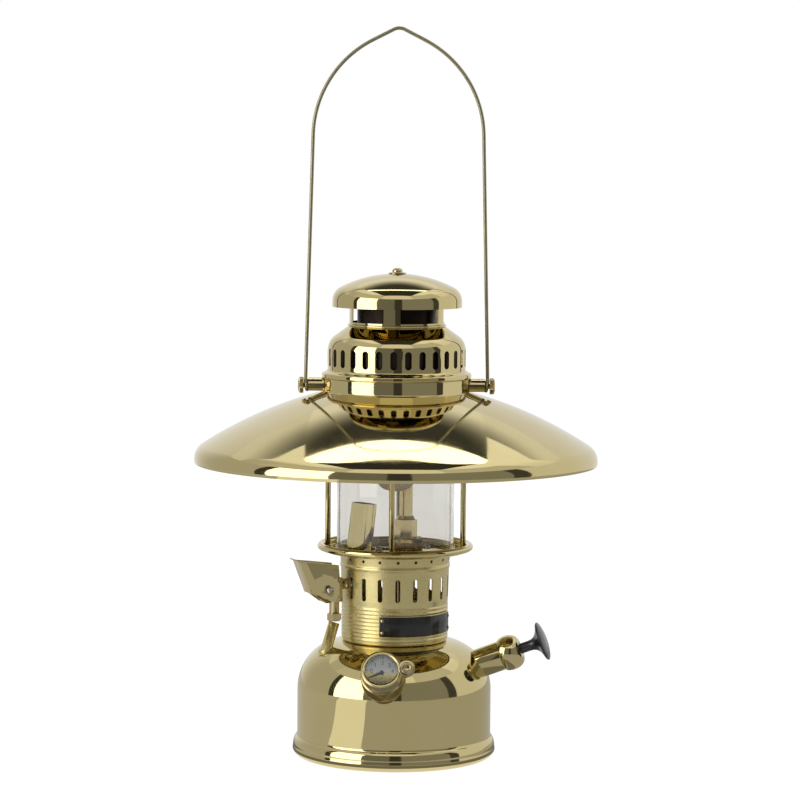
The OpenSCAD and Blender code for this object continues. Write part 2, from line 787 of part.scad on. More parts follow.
module collar() {
    r = collar_d / 2;
    r0 = r - 0.35;
    ribs = [for (i = [0:8]) each let (z = z_top + 3.4 + i * 3.2)
        [[r0, z], [r0 + 0.5, z + 0.9], [r0 + 0.5, z + 1.5], [r0, z + 2.4]]];
    line = concat(
        [[r0 - 9.5, z_top], [r0 - 2, z_top], [r0 - 0.6, z_top + 0.6], [r0, z_top + 2]], ribs,
        [[r, z_floor - 39], [r + 0.7, z_floor - 13.4], [r + 1.5, z_floor - 12], [r + 1.5, z_floor - 10.4],
         [r + 0.9, z_floor - 9.4], [r + 1.5, z_floor - 2], [r + 2.2, z_floor - 0.8], [r + 2.2, z_floor]]);
    color(brass) difference() {
        spun(line, 0.9);
        for (i = [0:collar_slots - 1]) let (a = -86.8 + i * 360 / collar_slots)
            if (cos(a - pre_az) < 0.98) rotate([0, 0, a]) {
                translate([0, 0, z_floor - 28.5]) slot_cutter(collar_slot_w, collar_slot_h, r - 6, r + 6);
                translate([r - 4, 0, z_floor - 4.8]) rotate([0, 90, 0]) cylinder(d = 2.6, h = 12, $fn = 24);
            }
        on_vaporiser() translate([0, 0, z_top - 1]) cylinder(r = base_hex / sqrt(3) + 0.4, h = 4);
        on_vaporiser() translate([0, 0, spindle_z]) rotate([-90, 0, 0])
            cylinder(r = spindle_r + 1.5, h = 40);
        on_preheater() translate([r - 12, 0, pipe_z]) rotate([0, 90, 0]) cylinder(r = pipe_r + 0.5, h = 20);
    }
}

module label_plate() {
    r = collar_d / 2 + 0.2;
    color(black) rotate([0, 0, -106]) rotate_extrude(angle = label_span)
        translate([r, z_top + 9]) square([0.9, label_h]);
}

module label_rivets() {
    r = collar_d / 2 + 1.12;
    color(brass) for (a = [-106 + 3, -106 + label_span - 3], z = [3, label_h - 3])
        rotate([0, 0, a]) translate([r, 0, z_top + 9 + z]) rotate([0, 90, 0]) {
            cylinder(r = 1.3, h = 0.5, $fn = 24);
            translate([0, 0, 0.5]) cylinder(r1 = 1.3, r2 = 0.7, h = 0.4, $fn = 24);
        }
}

module cage_floor() {
    bead_r = rim_bead_d / 2;
    bead_c = flange_d / 2 - bead_r;
    foot = bead_c - 2.6;
    bead_z = z_floor + bead_r + 1;
    line = [[0, z_floor], [foot, z_floor], [foot + 0.9, z_floor + 0.5], [foot + 1.4, z_floor + 1.6],
        [foot + 1.6, bead_z - 1]];
    color(brass) difference() {
        union() {
            spun(line, sheet);
            translate([0, 0, z_deck - 0.2]) ring(globe_d / 2 + 0.5, globe_d / 2 + 1.4, 3.2);
            rotate_extrude() translate([bead_c, bead_z]) circle(r = bead_r, $fn = 32);
        }
        on_vaporiser() translate([0, 0, z_floor - 5]) cylinder(r = body_r + 0.6, h = 10);
        on_preheater() translate([flame_u, 0, z_floor - 5]) cylinder(r = flame_r - 2, h = 10);
        for (a = [-30, -70, -110, 130, 170]) rotate([0, 0, a]) translate([vent_circle, 0, z_floor - 5])
            cylinder(r = vent_r, h = 10);
        for (p = floor_spots) translate([p[0], p[1], z_floor - 5]) cylinder(r = floor_screw_r, h = 10);
    }
}

module floor_screws() {
    r = floor_screw_r;
    color(steel) for (p = floor_spots) translate([p[0], p[1], 0]) {
        translate([0, 0, z_floor - 2.5 * r]) cylinder(r = r - seat_gap, h = 3.75 * r);
        translate([0, 0, z_deck]) cylinder(r1 = 2.2 * r, r2 = 1.9 * r, h = r);
        translate([0, 0, z_deck + r]) cylinder(r1 = 1.9 * r, r2 = 0.9 * r, h = r * 0.6);
    }
}

module cage_rods() {
    color(brass) for (i = [0:3]) rotate([0, 0, -93 + 90 * i]) translate([rod_circle_d / 2, 0, z_deck])
        cylinder(d = rod_d, h = cage_h);
}

module cage_top_ring() {
    color(brass) difference() {
        union() {
            translate([0, 0, z_ring]) ring(globe_d / 2 + 1.05, shade_neck_r + 0.2, ring_t);
            translate([0, 0, z_seat - 0.5]) ring(ring_out - ring_wall, ring_out, shade_neck_h + 0.3);
        }
        screw_holes();
    }
}

// Cutters for the thumb screws through the nested rings
module screw_holes() {
    translate([0, 0, z_pivot]) rotate([0, 90, 0])
        cylinder(r = screw_d / 2 + 0.35, h = 2 * shade_neck_r + 20, center = true);
}

module globe() {
    color("#dfe6f0", 0.35) translate([0, 0, z_deck])
        ring(globe_d / 2 - globe_wall, globe_d / 2, cage_h - globe_gap);
}

// Hood and burner

module hood_shell() {
    line = concat(
        [[skirt_out - skirt_t, z_hood]],
        arc(rim_out - 1.6, z_hood + 1.6, 1.6, -90, 0, 4),
        arc(rim_out - 1.6, z_hood + 3.2, 1.6, 10, 50, 3),
        [[hood_r + 1.6, z_hood + 5.8], [hood_r + 0.4, z_hood + 6.8], [hood_r, wall_z]],
        arc(hood_r - hood_shoulder_r, shoulder_z0, hood_shoulder_r, 0, 90 - cone_slope, 6),
        [[neck_r + 0.8, z_neck - 0.8 * tan(cone_slope)]]);
    color(brass) difference() {
        rotate_extrude() polygon(concat(line, reversed(moved(line, sheet))));
        for (i = [0:hood_slots - 1]) rotate([0, 0, -92.4 + i * 360 / hood_slots])
            translate([0, 0, wall_z + 2.4 + hood_slot_h / 2])
                slot_cutter(hood_slot_w, hood_slot_h, hood_r - 5, hood_r + 5);
    }
}

module hood_skirt() {
    color(brass) difference() {
        translate([0, 0, plate_z]) ring(skirt_out - skirt_t, skirt_out, z_hood - plate_z);
        for (s = [-1, 1]) translate([s * skirt_out, 0, plate_z - 1]) {
            translate([0, 0, (z_pivot - plate_z) / 2])
                cube([8, screw_d + 1, z_pivot - plate_z + 2], center = true);
            translate([0, 0, z_pivot - plate_z + 1]) rotate([0, 90, 0])
                cylinder(d = screw_d + 1, h = 8, center = true);
        }
    }
}

module hood_liner() {
    r = neck_r - 6.6;
    color(brass) spun([[liner_r, plate_z + plate_t], [liner_r, shoulder_z0 + 1], [r, z_neck - 8],
        [r, z_cap + 8]], sheet);
}

module hood_neck() {
    z1 = crown_cz + sqrt(pow(crown_r - sheet, 2) - pow(neck_r, 2)) - 0.1;
    open = 360 / neck_windows * neck_open;
    win_z = z_neck + 3;
    win_h = cap_lift + 3;
    color(brass) difference() {
        union() {
            translate([0, 0, z_neck - 6]) ring(neck_r - sheet, neck_r, z1 - z_neck + 6);
            rotate_extrude() translate([neck_r + 0.3, z_neck + 0.55]) circle(r = 1.1, $fn = 24);
        }
        translate([0, 0, z_neck - 8]) cylinder(r = neck_r - sheet, h = 14);
        for (i = [0:neck_windows - 1]) rotate([0, 0, -132 + i * 360 / neck_windows - open / 2])
            rotate_extrude(angle = open) translate([neck_r - 5, win_z]) square([10, win_h]);
    }
}

module hood_cap() {
    line = concat(
        [[cap_r, z_cap]],
        arc(cap_r - cap_edge_r, edge_z, cap_edge_r, 0, cap_edge_angle, 7),
        [for (i = [1:7]) let (a = cap_edge_angle + (90 - cap_edge_angle) * i / 8)
            [crown_r * cos(a), crown_cz + crown_r * sin(a)]],
        [[2.2, z_crown]]);
    color(brass) rotate_extrude() polygon(concat(line, reversed(moved(line, sheet))));
}

module cap_nut() {
    color(brass) rotate_extrude() polygon([[0, z_crown - 5], [2.1, z_crown - 5], [2.1, z_crown],
        [7.5, z_crown], [7.5, z_crown + 0.9], [4.25, z_crown + 1.1], [4.25, z_crown + 2.6],
        [3.6, z_crown + 3.6], [2.2, z_crown + 4.4], [0, z_crown + 4.7]]);
}

module burner_plate() {
    color(steel) translate([0, 0, plate_z]) difference() {
        cylinder(r = plate_r, h = plate_t);
        translate([0, 0, -1]) cylinder(r = mix_r + seat_gap, h = 4);
        on_vaporiser() translate([0, 0, -1]) cylinder(r = mix_r + seat_gap, h = 4);
        for (a = [-150, -110, -70, -30, 10, 130, 170]) rotate([0, 0, a]) translate([34, 0, -1])
            cylinder(r = 8, h = 4);
    }
}

module mixing_tube() {
    color(steel) difference() {
        union() {
            translate([0, 0, plate_z - 4]) cylinder(r = mix_r, h = mix_z + lap - plate_z + 4);
            on_vaporiser() translate([0, 0, jet_top + 4]) cylinder(r = mix_r, h = mix_z + lap - jet_top - 4);
            mixing_bend(mix_r - 0.15);
        }
        translate([0, 0, plate_z - 5]) cylinder(r = mix_r - 1, h = mix_z + lap - plate_z + 5);
        on_vaporiser() translate([0, 0, jet_top]) cylinder(r = mix_r - 1, h = mix_z + lap - jet_top);
        mixing_bend(mix_r - 1.15);
    }
}

// Half ring that joins the two upright legs of the mixing tube
module mixing_bend(r) {
    translate([vap_x / 2, vap_y / 2, mix_z]) rotate([0, 0, mix_az]) rotate([90, 0, 0])
        rotate_extrude(angle = 180) translate([mix_span / 2, 0]) circle(r = r, $fn = 32);
}

module mixing_chamber() {
    color(steel) spun([[9.5, chamber_z], [chamber_r - 2, chamber_z], [chamber_r, chamber_z + 2],
        [chamber_r, plate_z - 3], [chamber_r - 3, plate_z], [mix_r + seat_gap, plate_z]], sheet);
}

module ceramic_nozzle() {
    color("#e9e4d8") translate([0, 0, nozzle_z]) difference() {
        union() {
            cylinder(r = nozzle_r, h = 10);
            translate([0, 0, 6]) cylinder(r = nozzle_r + 3, h = 4);
            translate([0, 0, 9]) cylinder(r = nozzle_r, h = 3);
        }
        translate([0, 0, 2]) cylinder(r = 6.5, h = 20);
        for (i = [0:5]) rotate([0, 0, i * 60]) translate([4, 0, -1]) cylinder(r = 1.2, h = 5);
    }
}

module mantle() {
    r = mantle_d / 2;
    h = mantle_h;
    n = nozzle_r + 0.9;
    line = [[0, 0], [r * 0.3, 0], [r * 0.58, h * 0.022], [r * 0.82, h * 0.08], [r * 0.95, h * 0.18],
        [r, h * 0.36], [r * 0.98, h * 0.55], [r * 0.86, h * 0.733], [r * 0.66, h * 0.883],
        [n + 0.4, h * 0.983], [n, h * 1.017], [n, h * 1.067]];
    color("#f2efe6") translate([0, 0, mantle_z]) spun(line, 0.8);
}

// Shade

module shade() {
    line = concat(
        [[shade_neck_r, z_hood], [shade_neck_r, shade_z]],
        [for (i = [1:12]) let (a = shade_slope_in + (shade_slope_out - shade_slope_in) * i / 12)
            [shade_neck_r + shade_big_r * (sin(a) - sin(shade_slope_in)),
             shade_z - shade_big_r * (cos(shade_slope_in) - cos(a))]],
        [for (i = [1:7]) let (a = shade_slope_out + (102 - shade_slope_out) * i / 7)
            [shade_end_r + shade_rim_r * (sin(a) - sin(shade_slope_out)),
             shade_end_z - shade_rim_r * (cos(shade_slope_out) - cos(a))]]);
    leaf = [for (i = [1:len(line) - 1]) line[i]];
    color(brass) difference() {
        union() {
            rotate_extrude() polygon(concat(leaf, reversed(moved(leaf, -sheet))));
            translate([0, 0, z_seat]) ring(shade_neck_r - neck_sheet, shade_neck_r, z_hood - z_seat);
        }
        translate([0, 0, z_seat - 20]) cylinder(r = shade_neck_r - neck_sheet, h = 60);
        screw_holes();
    }
}

// Bail and thumb screws

// A straight piece of wire from p to q in the XZ plane, reaching a little into its bends
module wire(p, q) {
    d = q - p;
    translate([p[0], 0, p[1]]) rotate([0, 90 - atan2(d[1], d[0]), 0]) translate([0, 0, -lap])
        cylinder(d = bail_wire_d, h = norm(d) + 2 * lap);
}

// A bend of wire about c in the XZ plane, from angle a0 to a1
module bend(c, r, a0, a1) {
    translate([c[0], 0, c[1]]) rotate([90, 0, 0]) rotate([0, 0, a0]) rotate_extrude(angle = a1 - a0)
        translate([r, 0]) circle(d = bail_wire_d - 2 * step, $fn = 24);
}

module bail_half() {
    p0 = [bail_x, z_pivot];
    p1 = p0 + bail_leg_l * [-sin(bail_lean), cos(bail_lean)];
    p2 = p1 + [bail_arc_x, bail_arc_z];
    p3 = p2 + bail_roof_l * [-cos(bail_roof), sin(bail_roof)];
    wire(p0 + [0, eye_bore + 1.4], p1);
    bend(p1 - bail_bend_r * [cos(bail_lean), sin(bail_lean)], bail_bend_r, bail_lean, 90 - bail_roof);
    wire(p2, p3);
    translate([eye_x, 0, z_pivot]) rotate([0, 90, 0]) cylinder(r = eye_r, h = eye_t);
}

module bail() {
    color(steel) difference() {
        union() {
            bail_half();
            mirror([1, 0, 0]) bail_half();
            bend([0, z_pivot + bail_h - bail_wire_d / 2 - bail_peak_r], bail_peak_r,
                90 - bail_roof, 90 + bail_roof);
        }
        translate([0, 0, z_pivot]) rotate([0, 90, 0]) cylinder(r = eye_bore, h = 200, center = true);
    }
}

// One thumb screw pointing along +X
module hood_screw() {
    translate([screw_x0, 0, z_pivot]) rotate([0, 90, 0]) cylinder(d = screw_d, h = head_x + 2.95 - screw_x0);
    translate([head_x, 0, z_pivot]) rotate([0, 90, 0]) {
        cylinder(d = screw_head_d, h = 3.6);
        translate([0, 0, 3.6]) cylinder(d1 = screw_head_d, d2 = screw_head_d - 2, h = 0.9);
    }
}

module hood_screw_left() {
    color(brass) mirror([1, 0, 0]) hood_screw();
}

module hood_screw_right() {
    color(brass) hood_screw();
}

module screw_bushes() {
    color(brass) for (s = [0, 1]) mirror([s, 0, 0]) translate([shade_neck_r + 0.02, 0, z_pivot])
        difference() {
            rotate([0, 90, 0]) ring(screw_d / 2 + 0.35, bush_r, bush_l);
            translate([-1, -10, shade_z + 0.3 - z_pivot - 10]) cube([bush_l + 2, 20, 10]);
        }
}

tank();
tank_bottom();
filler_neck();
filler_gasket();
filler_cap();
gauge_dial();
gauge_needle();
gauge_glass();
gauge_bezel();
vent_screw();
pump_barrel();
pump_check_valve();
pump_cap();
pump_rod();
pump_leather();
pump_nut();
pump_knob();
preheater_tube();
preheater_nut();
preheater_valve();
preheater_spindle();
preheater_pin();
preheater_lever();
preheater_pipe();
preheater_flame_tube();
vaporiser_base();
pickup_tube();
vaporiser_nut();
vaporiser_tube();
vaporiser_jet();
cleaning_rod();
control_spindle();
gland_nut();
handwheel();
spirit_cup();
collar();
label_plate();
label_rivets();
cage_floor();
floor_screws();
cage_rods();
cage_top_ring();
globe();
hood_shell();
hood_skirt();
hood_liner();
hood_neck();
hood_cap();
cap_nut();
burner_plate();
mixing_tube();
mixing_chamber();
ceramic_nozzle();
mantle();
shade();
bail();
hood_screw_left();
hood_screw_right();
screw_bushes();
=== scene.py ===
"""Dress the brass pressure lantern: its visible pieces, finishes, studio and camera."""

import json
import logging
import math
from dataclasses import dataclass, field
from enum import Enum

import bmesh
import bpy
from mathutils import Matrix, Vector


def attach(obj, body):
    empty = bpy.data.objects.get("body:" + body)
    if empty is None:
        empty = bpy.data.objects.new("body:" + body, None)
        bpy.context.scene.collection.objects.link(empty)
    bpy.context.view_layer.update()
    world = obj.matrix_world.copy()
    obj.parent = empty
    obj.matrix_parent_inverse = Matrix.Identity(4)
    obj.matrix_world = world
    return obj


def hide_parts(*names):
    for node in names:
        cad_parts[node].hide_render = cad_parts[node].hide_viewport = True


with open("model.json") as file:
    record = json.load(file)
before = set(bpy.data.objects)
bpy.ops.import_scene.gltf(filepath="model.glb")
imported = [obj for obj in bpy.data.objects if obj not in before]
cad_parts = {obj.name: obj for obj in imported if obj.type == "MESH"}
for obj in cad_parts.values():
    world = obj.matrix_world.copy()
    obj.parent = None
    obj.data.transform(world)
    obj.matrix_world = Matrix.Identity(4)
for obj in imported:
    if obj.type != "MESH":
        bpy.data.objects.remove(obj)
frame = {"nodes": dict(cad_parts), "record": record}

LOG = logging.getLogger("lantern")
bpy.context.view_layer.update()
MM = 0.001
TO_METRES, TO_MM = Matrix.Scale(MM, 4), Matrix.Scale(1 / MM, 4)

# Points closer than this, in millimetres, are one point
MERGE_MM = 0.002
# Most sectors that a spin is made of
MOST_SECTORS = 20
# Rows of points between an opening's rim and the edge of its tile
TILE_ROWS = 3
# Most that a rounded corner takes of each of its two sides
CORNER_SHARE = 0.45
# Least cosine by which a moved corner's distance is divided, so that sharp corners stay short
MITRE_COSINE = 0.3
# Noise values between which a finish goes from its lower roughness to its higher one
PATCH_SWING = (0.3, 0.7)
# Rise of a finish's relief as a share of its pitch
RELIEF_RISE = 0.2

Point = tuple[float, float]
Three = tuple[float, float, float]
Line = list[Point]
Colour = tuple[float, float, float, float]

BODY_OF = {n: body for body, held in frame["record"]["behaviour"]["bodies"].items() for n in held}


# ---------------------------------------------------------------- finishes

def linear(code: str) -> Colour:
    """Turn an sRGB hex colour to linear.

    Args:
        code: A colour such as "#f1dfa2".

    Returns:
        Linear red, green and blue with an alpha of 1.
    """
    parts = [int(code[i:i + 2], 16) / 255 for i in (1, 3, 5)]
    low, high = [c / 12.92 for c in parts], [((c + 0.055) / 1.055) ** 2.4 for c in parts]
    red, green, blue = (a if c <= 0.04045 else b for c, a, b in zip(parts, low, high))
    return (red, green, blue, 1.0)


def add_node(tree: bpy.types.NodeTree, kind: str, inputs: dict | None = None,
             **settings: object) -> bpy.types.Node:
    """Add one shader node with its settings, values and links.

    Args:
        tree: The node tree that takes the node.
        kind: Blender's name of the node type.
        inputs: Socket name or number to a value, or to another node's output to link.
        **settings: Attributes of the node.

    Returns:
        The new node.
    """
    made = tree.nodes.new(kind)
    for key, value in settings.items():
        setattr(made, key, value)
    for key, value in (inputs or {}).items():
        if isinstance(value, bpy.types.NodeSocket):
            tree.links.new(value, made.inputs[key])
        else:
            made.inputs[key].default_value = value
    return made


def empty_tree(owner: bpy.types.Material | bpy.types.World) -> bpy.types.NodeTree:
    """Clear the shader nodes of a material or a world.

    Args:
        owner: The material or the world.

    Returns:
        Its empty node tree.
    """
    owner.use_nodes = True
    owner.node_tree.nodes.clear()
    return owner.node_tree


def linked(name: str, data: bpy.types.ID) -> bpy.types.Object:
    """Make an object and link it to the scene.

    Args:
        name: The object's name.
        data: Its mesh, camera or light.

    Returns:
        The object.
    """
    made = bpy.data.objects.new(name, data)
    bpy.context.scene.collection.objects.link(made)
    return made


MADE: dict[str, bpy.types.Material] = {}


@dataclass(frozen=True)
class Finish:
    """A surface finish with a patchy tone, roughness and relief read from Object coordinates.

    Patches and relief are noise whose sizes are given in millimetres. A stretch of more than 1
    draws the relief out round the upright axis, as a lathe or a brush does.
    """

    name: str
    colour: str
    tone: str
    rough: Point
    metallic: float = 1.0
    patch_mm: float = 24.0
    relief_mm: float = 3.0
    relief: float = 0.02
    stretch: float = 1.0
    coat: float = 0.0
    sheen: float = 0.0
    clear: float = 0.0
    ior: float = 1.5

    def material(self) -> bpy.types.Material:
        """Return the finish's material, made on first use."""
        if self.name not in MADE:
            MADE[self.name] = bpy.data.materials.new(self.name)
            self.dress(empty_tree(MADE[self.name]))
        return MADE[self.name]

    def dress(self, tree: bpy.types.NodeTree) -> None:
        """Fill a node tree with the finish.

        Args:
            tree: The empty node tree of the material.
        """
        place = add_node(tree, "ShaderNodeTexCoord").outputs["Object"]
        patches = add_node(tree, "ShaderNodeTexNoise", {
            "Vector": place, "Scale": 1 / (self.patch_mm * MM), "Detail": 3.0}).outputs["Fac"]
        spread = add_node(tree, "ShaderNodeMapRange", {
            "Value": patches, "From Min": PATCH_SWING[0], "From Max": PATCH_SWING[1],
            "To Min": self.rough[0], "To Max": self.rough[1]})
        tone = add_node(tree, "ShaderNodeMix", {
            "Factor": patches, "A": linear(self.colour), "B": linear(self.tone)},
            data_type="RGBA")
        pitch = 1 / (self.relief_mm * MM)
        drawn = add_node(tree, "ShaderNodeMapping", {
            "Vector": place, "Scale": (pitch / self.stretch, pitch / self.stretch, pitch)})
        grain = add_node(tree, "ShaderNodeTexNoise", {
            "Vector": drawn.outputs["Vector"], "Scale": 1.0, "Detail": 2.0})
        bump = add_node(tree, "ShaderNodeBump", {
            "Height": grain.outputs["Fac"], "Strength": self.relief,
            "Distance": self.relief_mm * MM * RELIEF_RISE})
        values = {"Base Color": tone.outputs["Result"], "Roughness": spread.outputs["Result"],
                  "Normal": bump.outputs["Normal"], "Metallic": self.metallic,
                  "Coat Weight": self.coat, "Sheen Weight": self.sheen,
                  "Transmission Weight": self.clear}
        if self.metallic < 0.5:
            values["IOR"] = self.ior
        shader = add_node(tree, "ShaderNodeBsdfPrincipled", values)
        add_node(tree, "ShaderNodeOutputMaterial", {"Surface": shader.outputs["BSDF"]})


class Kind(Enum):
    """The finishes of the lantern's pieces."""

    # Lacquered brass sheet, spun and buffed: a mirror with faint wipe marks and warm patches
    BRASS = Finish("buffed_brass", "#d1c391", "#cbbb84", (0.035, 0.08), relief_mm=7.0,
                   relief=0.012, stretch=6.0)
    # Brass left as it came off the lathe: fine rings that spread the highlights
    SATIN = Finish("turned_brass", "#d6c890", "#cfbf85", (0.24, 0.32), metallic=0.85,
                   patch_mm=12.0, relief_mm=0.7, relief=0.02, stretch=40.0)
    # Machined brass fittings: bright, with small tool marks and a little tarnish
    FITTING = Finish("machined_brass", "#cdbf94", "#bdaa79", (0.07, 0.17), patch_mm=9.0,
                     relief_mm=0.8, relief=0.03)
    # Zinc plated steel of screws, rods and spindles: pale grey with a soft shine
    STEEL = Finish("zinc_plated_steel", "#d3d1cb", "#b9b7b2", (0.16, 0.3), patch_mm=6.0,
                   relief_mm=0.8, relief=0.04)
    # Brass plated wire of the bail, rubbed to olive: a dull shine with faint handling marks
    WIRE = Finish("brass_plated_wire", "#a39c7c", "#969072", (0.32, 0.44), patch_mm=18.0,
                  relief_mm=2.0, relief=0.02)
    # Stainless burner parts that have been hot: straw and brown heat tint in patches
    HEATED = Finish("heat_tinted_steel", "#b8a88c", "#7d6a55", (0.24, 0.42), patch_mm=16.0,
                    relief_mm=1.2, relief=0.05)
    # Mill scale on the sheet steel inside the hood: brown black and dull, a colour that is partly
    # painted shade for the dim inside of the hood
    SCALED = Finish("scaled_steel_painted_shade", "#453a31", "#2c2520", (0.35, 0.5), patch_mm=12.0,
                    relief_mm=1.0, relief=0.04)
    # Moulded phenolic resin: near black with a blue cast and a polished skin
    PHENOLIC = Finish("moulded_phenolic", "#1d1d24", "#2a2a33", (0.2, 0.32), metallic=0.0,
                      patch_mm=18.0, relief_mm=2.5, relief=0.03, coat=0.25, ior=1.55)
    # Stove enamel on the bare label plate: deep black, faint orange peel
    ENAMEL = Finish("black_stove_enamel", "#121313", "#1b1b1a", (0.24, 0.36), metallic=0.0,
                    patch_mm=12.0, relief_mm=1.2, relief=0.05, coat=0.2, ior=1.5)
    # Dubbined cup leather of the pump: dark tan with pores
    LEATHER = Finish("cup_leather", "#7a5432", "#573820", (0.5, 0.7), metallic=0.0, patch_mm=5.0,
                     relief_mm=0.7, relief=0.35, ior=1.45)
    # Nitrile rubber of the gasket: dull black with a fine moulded grain
    RUBBER = Finish("nitrile_rubber", "#1b1c1d", "#262626", (0.6, 0.8), metallic=0.0, patch_mm=5.0,
                    relief_mm=0.6, relief=0.1, ior=1.5)
    # Silver grey dial enamel of the gauge's scale: an even matt coat
    DIAL = Finish("dial_enamel", "#d9d9d8", "#cfcfce", (0.4, 0.5), metallic=0.0, patch_mm=6.0,
                  relief_mm=0.5, relief=0.02)
    # Printing ink on the scale: flat black, drying a little uneven
    INK = Finish("printing_ink", "#17181a", "#242527", (0.45, 0.6), metallic=0.0, patch_mm=2.0,
                 relief_mm=0.5, relief=0.05)
    # Soda lime glass of the gauge window: clear and flat
    WINDOW = Finish("gauge_window_glass", "#f6f8f8", "#eff3f3", (0.0, 0.02), metallic=0.0,
                    patch_mm=20.0, relief_mm=9.0, relief=0.004, clear=1.0, ior=1.52)
    # Borosilicate globe: a grey cast in the wall and a faint draw along it
    GLOBE = Finish("borosilicate_glass", "#eae9e5", "#e5e4e0", (0.0, 0.015), metallic=0.0,
                   patch_mm=60.0, relief_mm=30.0, relief=0.006, clear=1.0, ior=1.47)
    # Unglazed steatite of the nozzle: matt cream with a fine pressed grain
    CERAMIC = Finish("steatite_ceramic", "#ebe6da", "#dcd5c4", (0.55, 0.75), metallic=0.0,
                     patch_mm=5.0, relief_mm=0.7, relief=0.12)
    # Burnt-in mantle: stiff oxide that keeps the stitches of the sleeve it was knitted as; its
    # beige brown tint is painted shade and painted warm light reflected from the brass, over an
    # off-white cloth
    MANTLE = Finish("mantle_painted_shade", "#dccbab", "#c9b592", (0.85, 0.95), metallic=0.0, patch_mm=7.0,
                    relief_mm=0.6, relief=0.4, sheen=0.3)


# ---------------------------------------------------------------- lines and shapes

def arc(x: float, z: float, r: float, a0: float, a1: float, n: int) -> Line:
    """Give the points of an arc.

    Args:
        x: Radius at the arc's middle.
        z: Height of the arc's middle.
        r: The arc's own radius.
        a0: First angle in degrees.
        a1: Last angle in degrees.
        n: Number of steps.

    Returns:
        The points from a0 to a1.
    """
    turns = [math.radians(a0 + (a1 - a0) * i / n) for i in range(n + 1)]
    return [(x + r * math.cos(t), z + r * math.sin(t)) for t in turns]


def moved(line: Line, d: float) -> Line:
    """Move a line sideways, to the left of its own direction.

    Args:
        line: The points.
        d: The distance.

    Returns:
        The moved points, in the same order.
    """
    points = [Vector(p) for p in line]
    sides = [(b - a).normalized().orthogonal() for a, b in zip(points, points[1:])]
    made = []
    for i, p in enumerate(points):
        a, b = sides[max(i - 1, 0)], sides[min(i, len(sides) - 1)]
        middle = (a + b).normalized()
        made.append(tuple(p + middle * (d / max(middle.dot(a), MITRE_COSINE))))
    return made


def eased(line: Line, r: float, n: int = 4) -> Line:
    """Round the corners of a line.

    Args:
        line: The points.
        r: Length that each corner takes from its two sides, up to a share of them.
        n: Steps in a rounded corner.

    Returns:
        The rounded line with its ends kept.
    """
    made = [line[0]]
    for a, b, c in zip(line, line[1:], line[2:]):
        p, q, s = Vector(a), Vector(b), Vector(c)
        start = q + (p - q).normalized() * min(r, (p - q).length * CORNER_SHARE)
        end = q + (s - q).normalized() * min(r, (s - q).length * CORNER_SHARE)
        for i in range(n + 1):
            t = i / n
            made.append(tuple(start * (1 - t) ** 2 + q * (2 * t * (1 - t)) + end * t ** 2))
    return made + [line[-1]]


def radius_at(line: Line, z: float) -> float:
    """Give the radius of a rising line at a height.

    Args:
        line: The points.
        z: The height.

    Returns:
        The radius there, or the last point's radius above the line.
    """
    for (x0, z0), (x1, z1) in zip(line, line[1:]):
        if z0 <= z <= z1 and z1 > z0:
            return x0 + (x1 - x0) * (z - z0) / (z1 - z0)
    return line[-1][0]


def cut_line(line: Line, low: float | None, high: float | None) -> Line:
    """Keep the part of a rising line between two heights, with new ends there.

    Args:
        line: The points.
        low: The lower height, or None to keep the line's start.
        high: The upper height, or None to keep the line's end.

    Returns:
        The points of that part.
    """
    made = [p for p in line if (low is None or p[1] > low) and (high is None or p[1] < high)]
    first = [] if low is None else [(radius_at(line, low), low)]
    last = [] if high is None else [(radius_at(line, high), high)]
    return first + made + last


def turned(axis: str, degrees: float) -> Matrix:
    """Give a turn about an axis."""
    return Matrix.Rotation(math.radians(degrees), 4, axis)


def shifted(x: float, y: float, z: float) -> Matrix:
    """Give a shift."""
    return Matrix.Translation((x, y, z))


@dataclass(frozen=True)
class Cut:
    """A ring of equal openings with round corners in a spun wall."""

    count: int
    start: float
    width: float
    height: float
    middle: float
    corner: float
    low: float
    high: float
    across: int = 12
    up: int = 4
    skip: tuple[int, ...] = ()

    def rim(self, r: float) -> tuple[Line, Line]:
        """Give the flat outlines of one tile and of its opening, with as many points each.

        Args:
            r: Radius of the wall.

        Returns:
            The tile's outline and the opening's outline.
        """
        half = math.pi / self.count * r
        k, m = self.across, self.up
        h, z = (self.high - self.low) / 2, (self.high + self.low) / 2
        sides = [(-half, -h, half, -h, k), (half, -h, half, h, m), (half, h, -half, h, k),
                 (-half, h, -half, -h, m)]
        tile = [(x0 + (x1 - x0) * i / n, z + z0 + (z1 - z0) * i / n)
                for x0, z0, x1, z1, n in sides for i in range(n)]
        w, h, c = self.width / 2, self.height / 2, self.corner
        n = k // 2 if w - c < 1e-6 else k // 4
        run = k - 2 * n
        low = arc(-w + c, -h + c, c, 180, 270, n)
        low += [(-w + c + 2 * (w - c) * i / run, -h) for i in range(1, run)] if run else []
        low += arc(w - c, -h + c, c, 270, 360, n)[0 if run else 1:]
        rise = [(w, -h + c + 2 * (h - c) * i / m) for i in range(1, m)]
        hole = low + rise
        hole += [(-x, -y) for x, y in hole]
        return tile, [(x, y + self.middle) for x, y in hole]


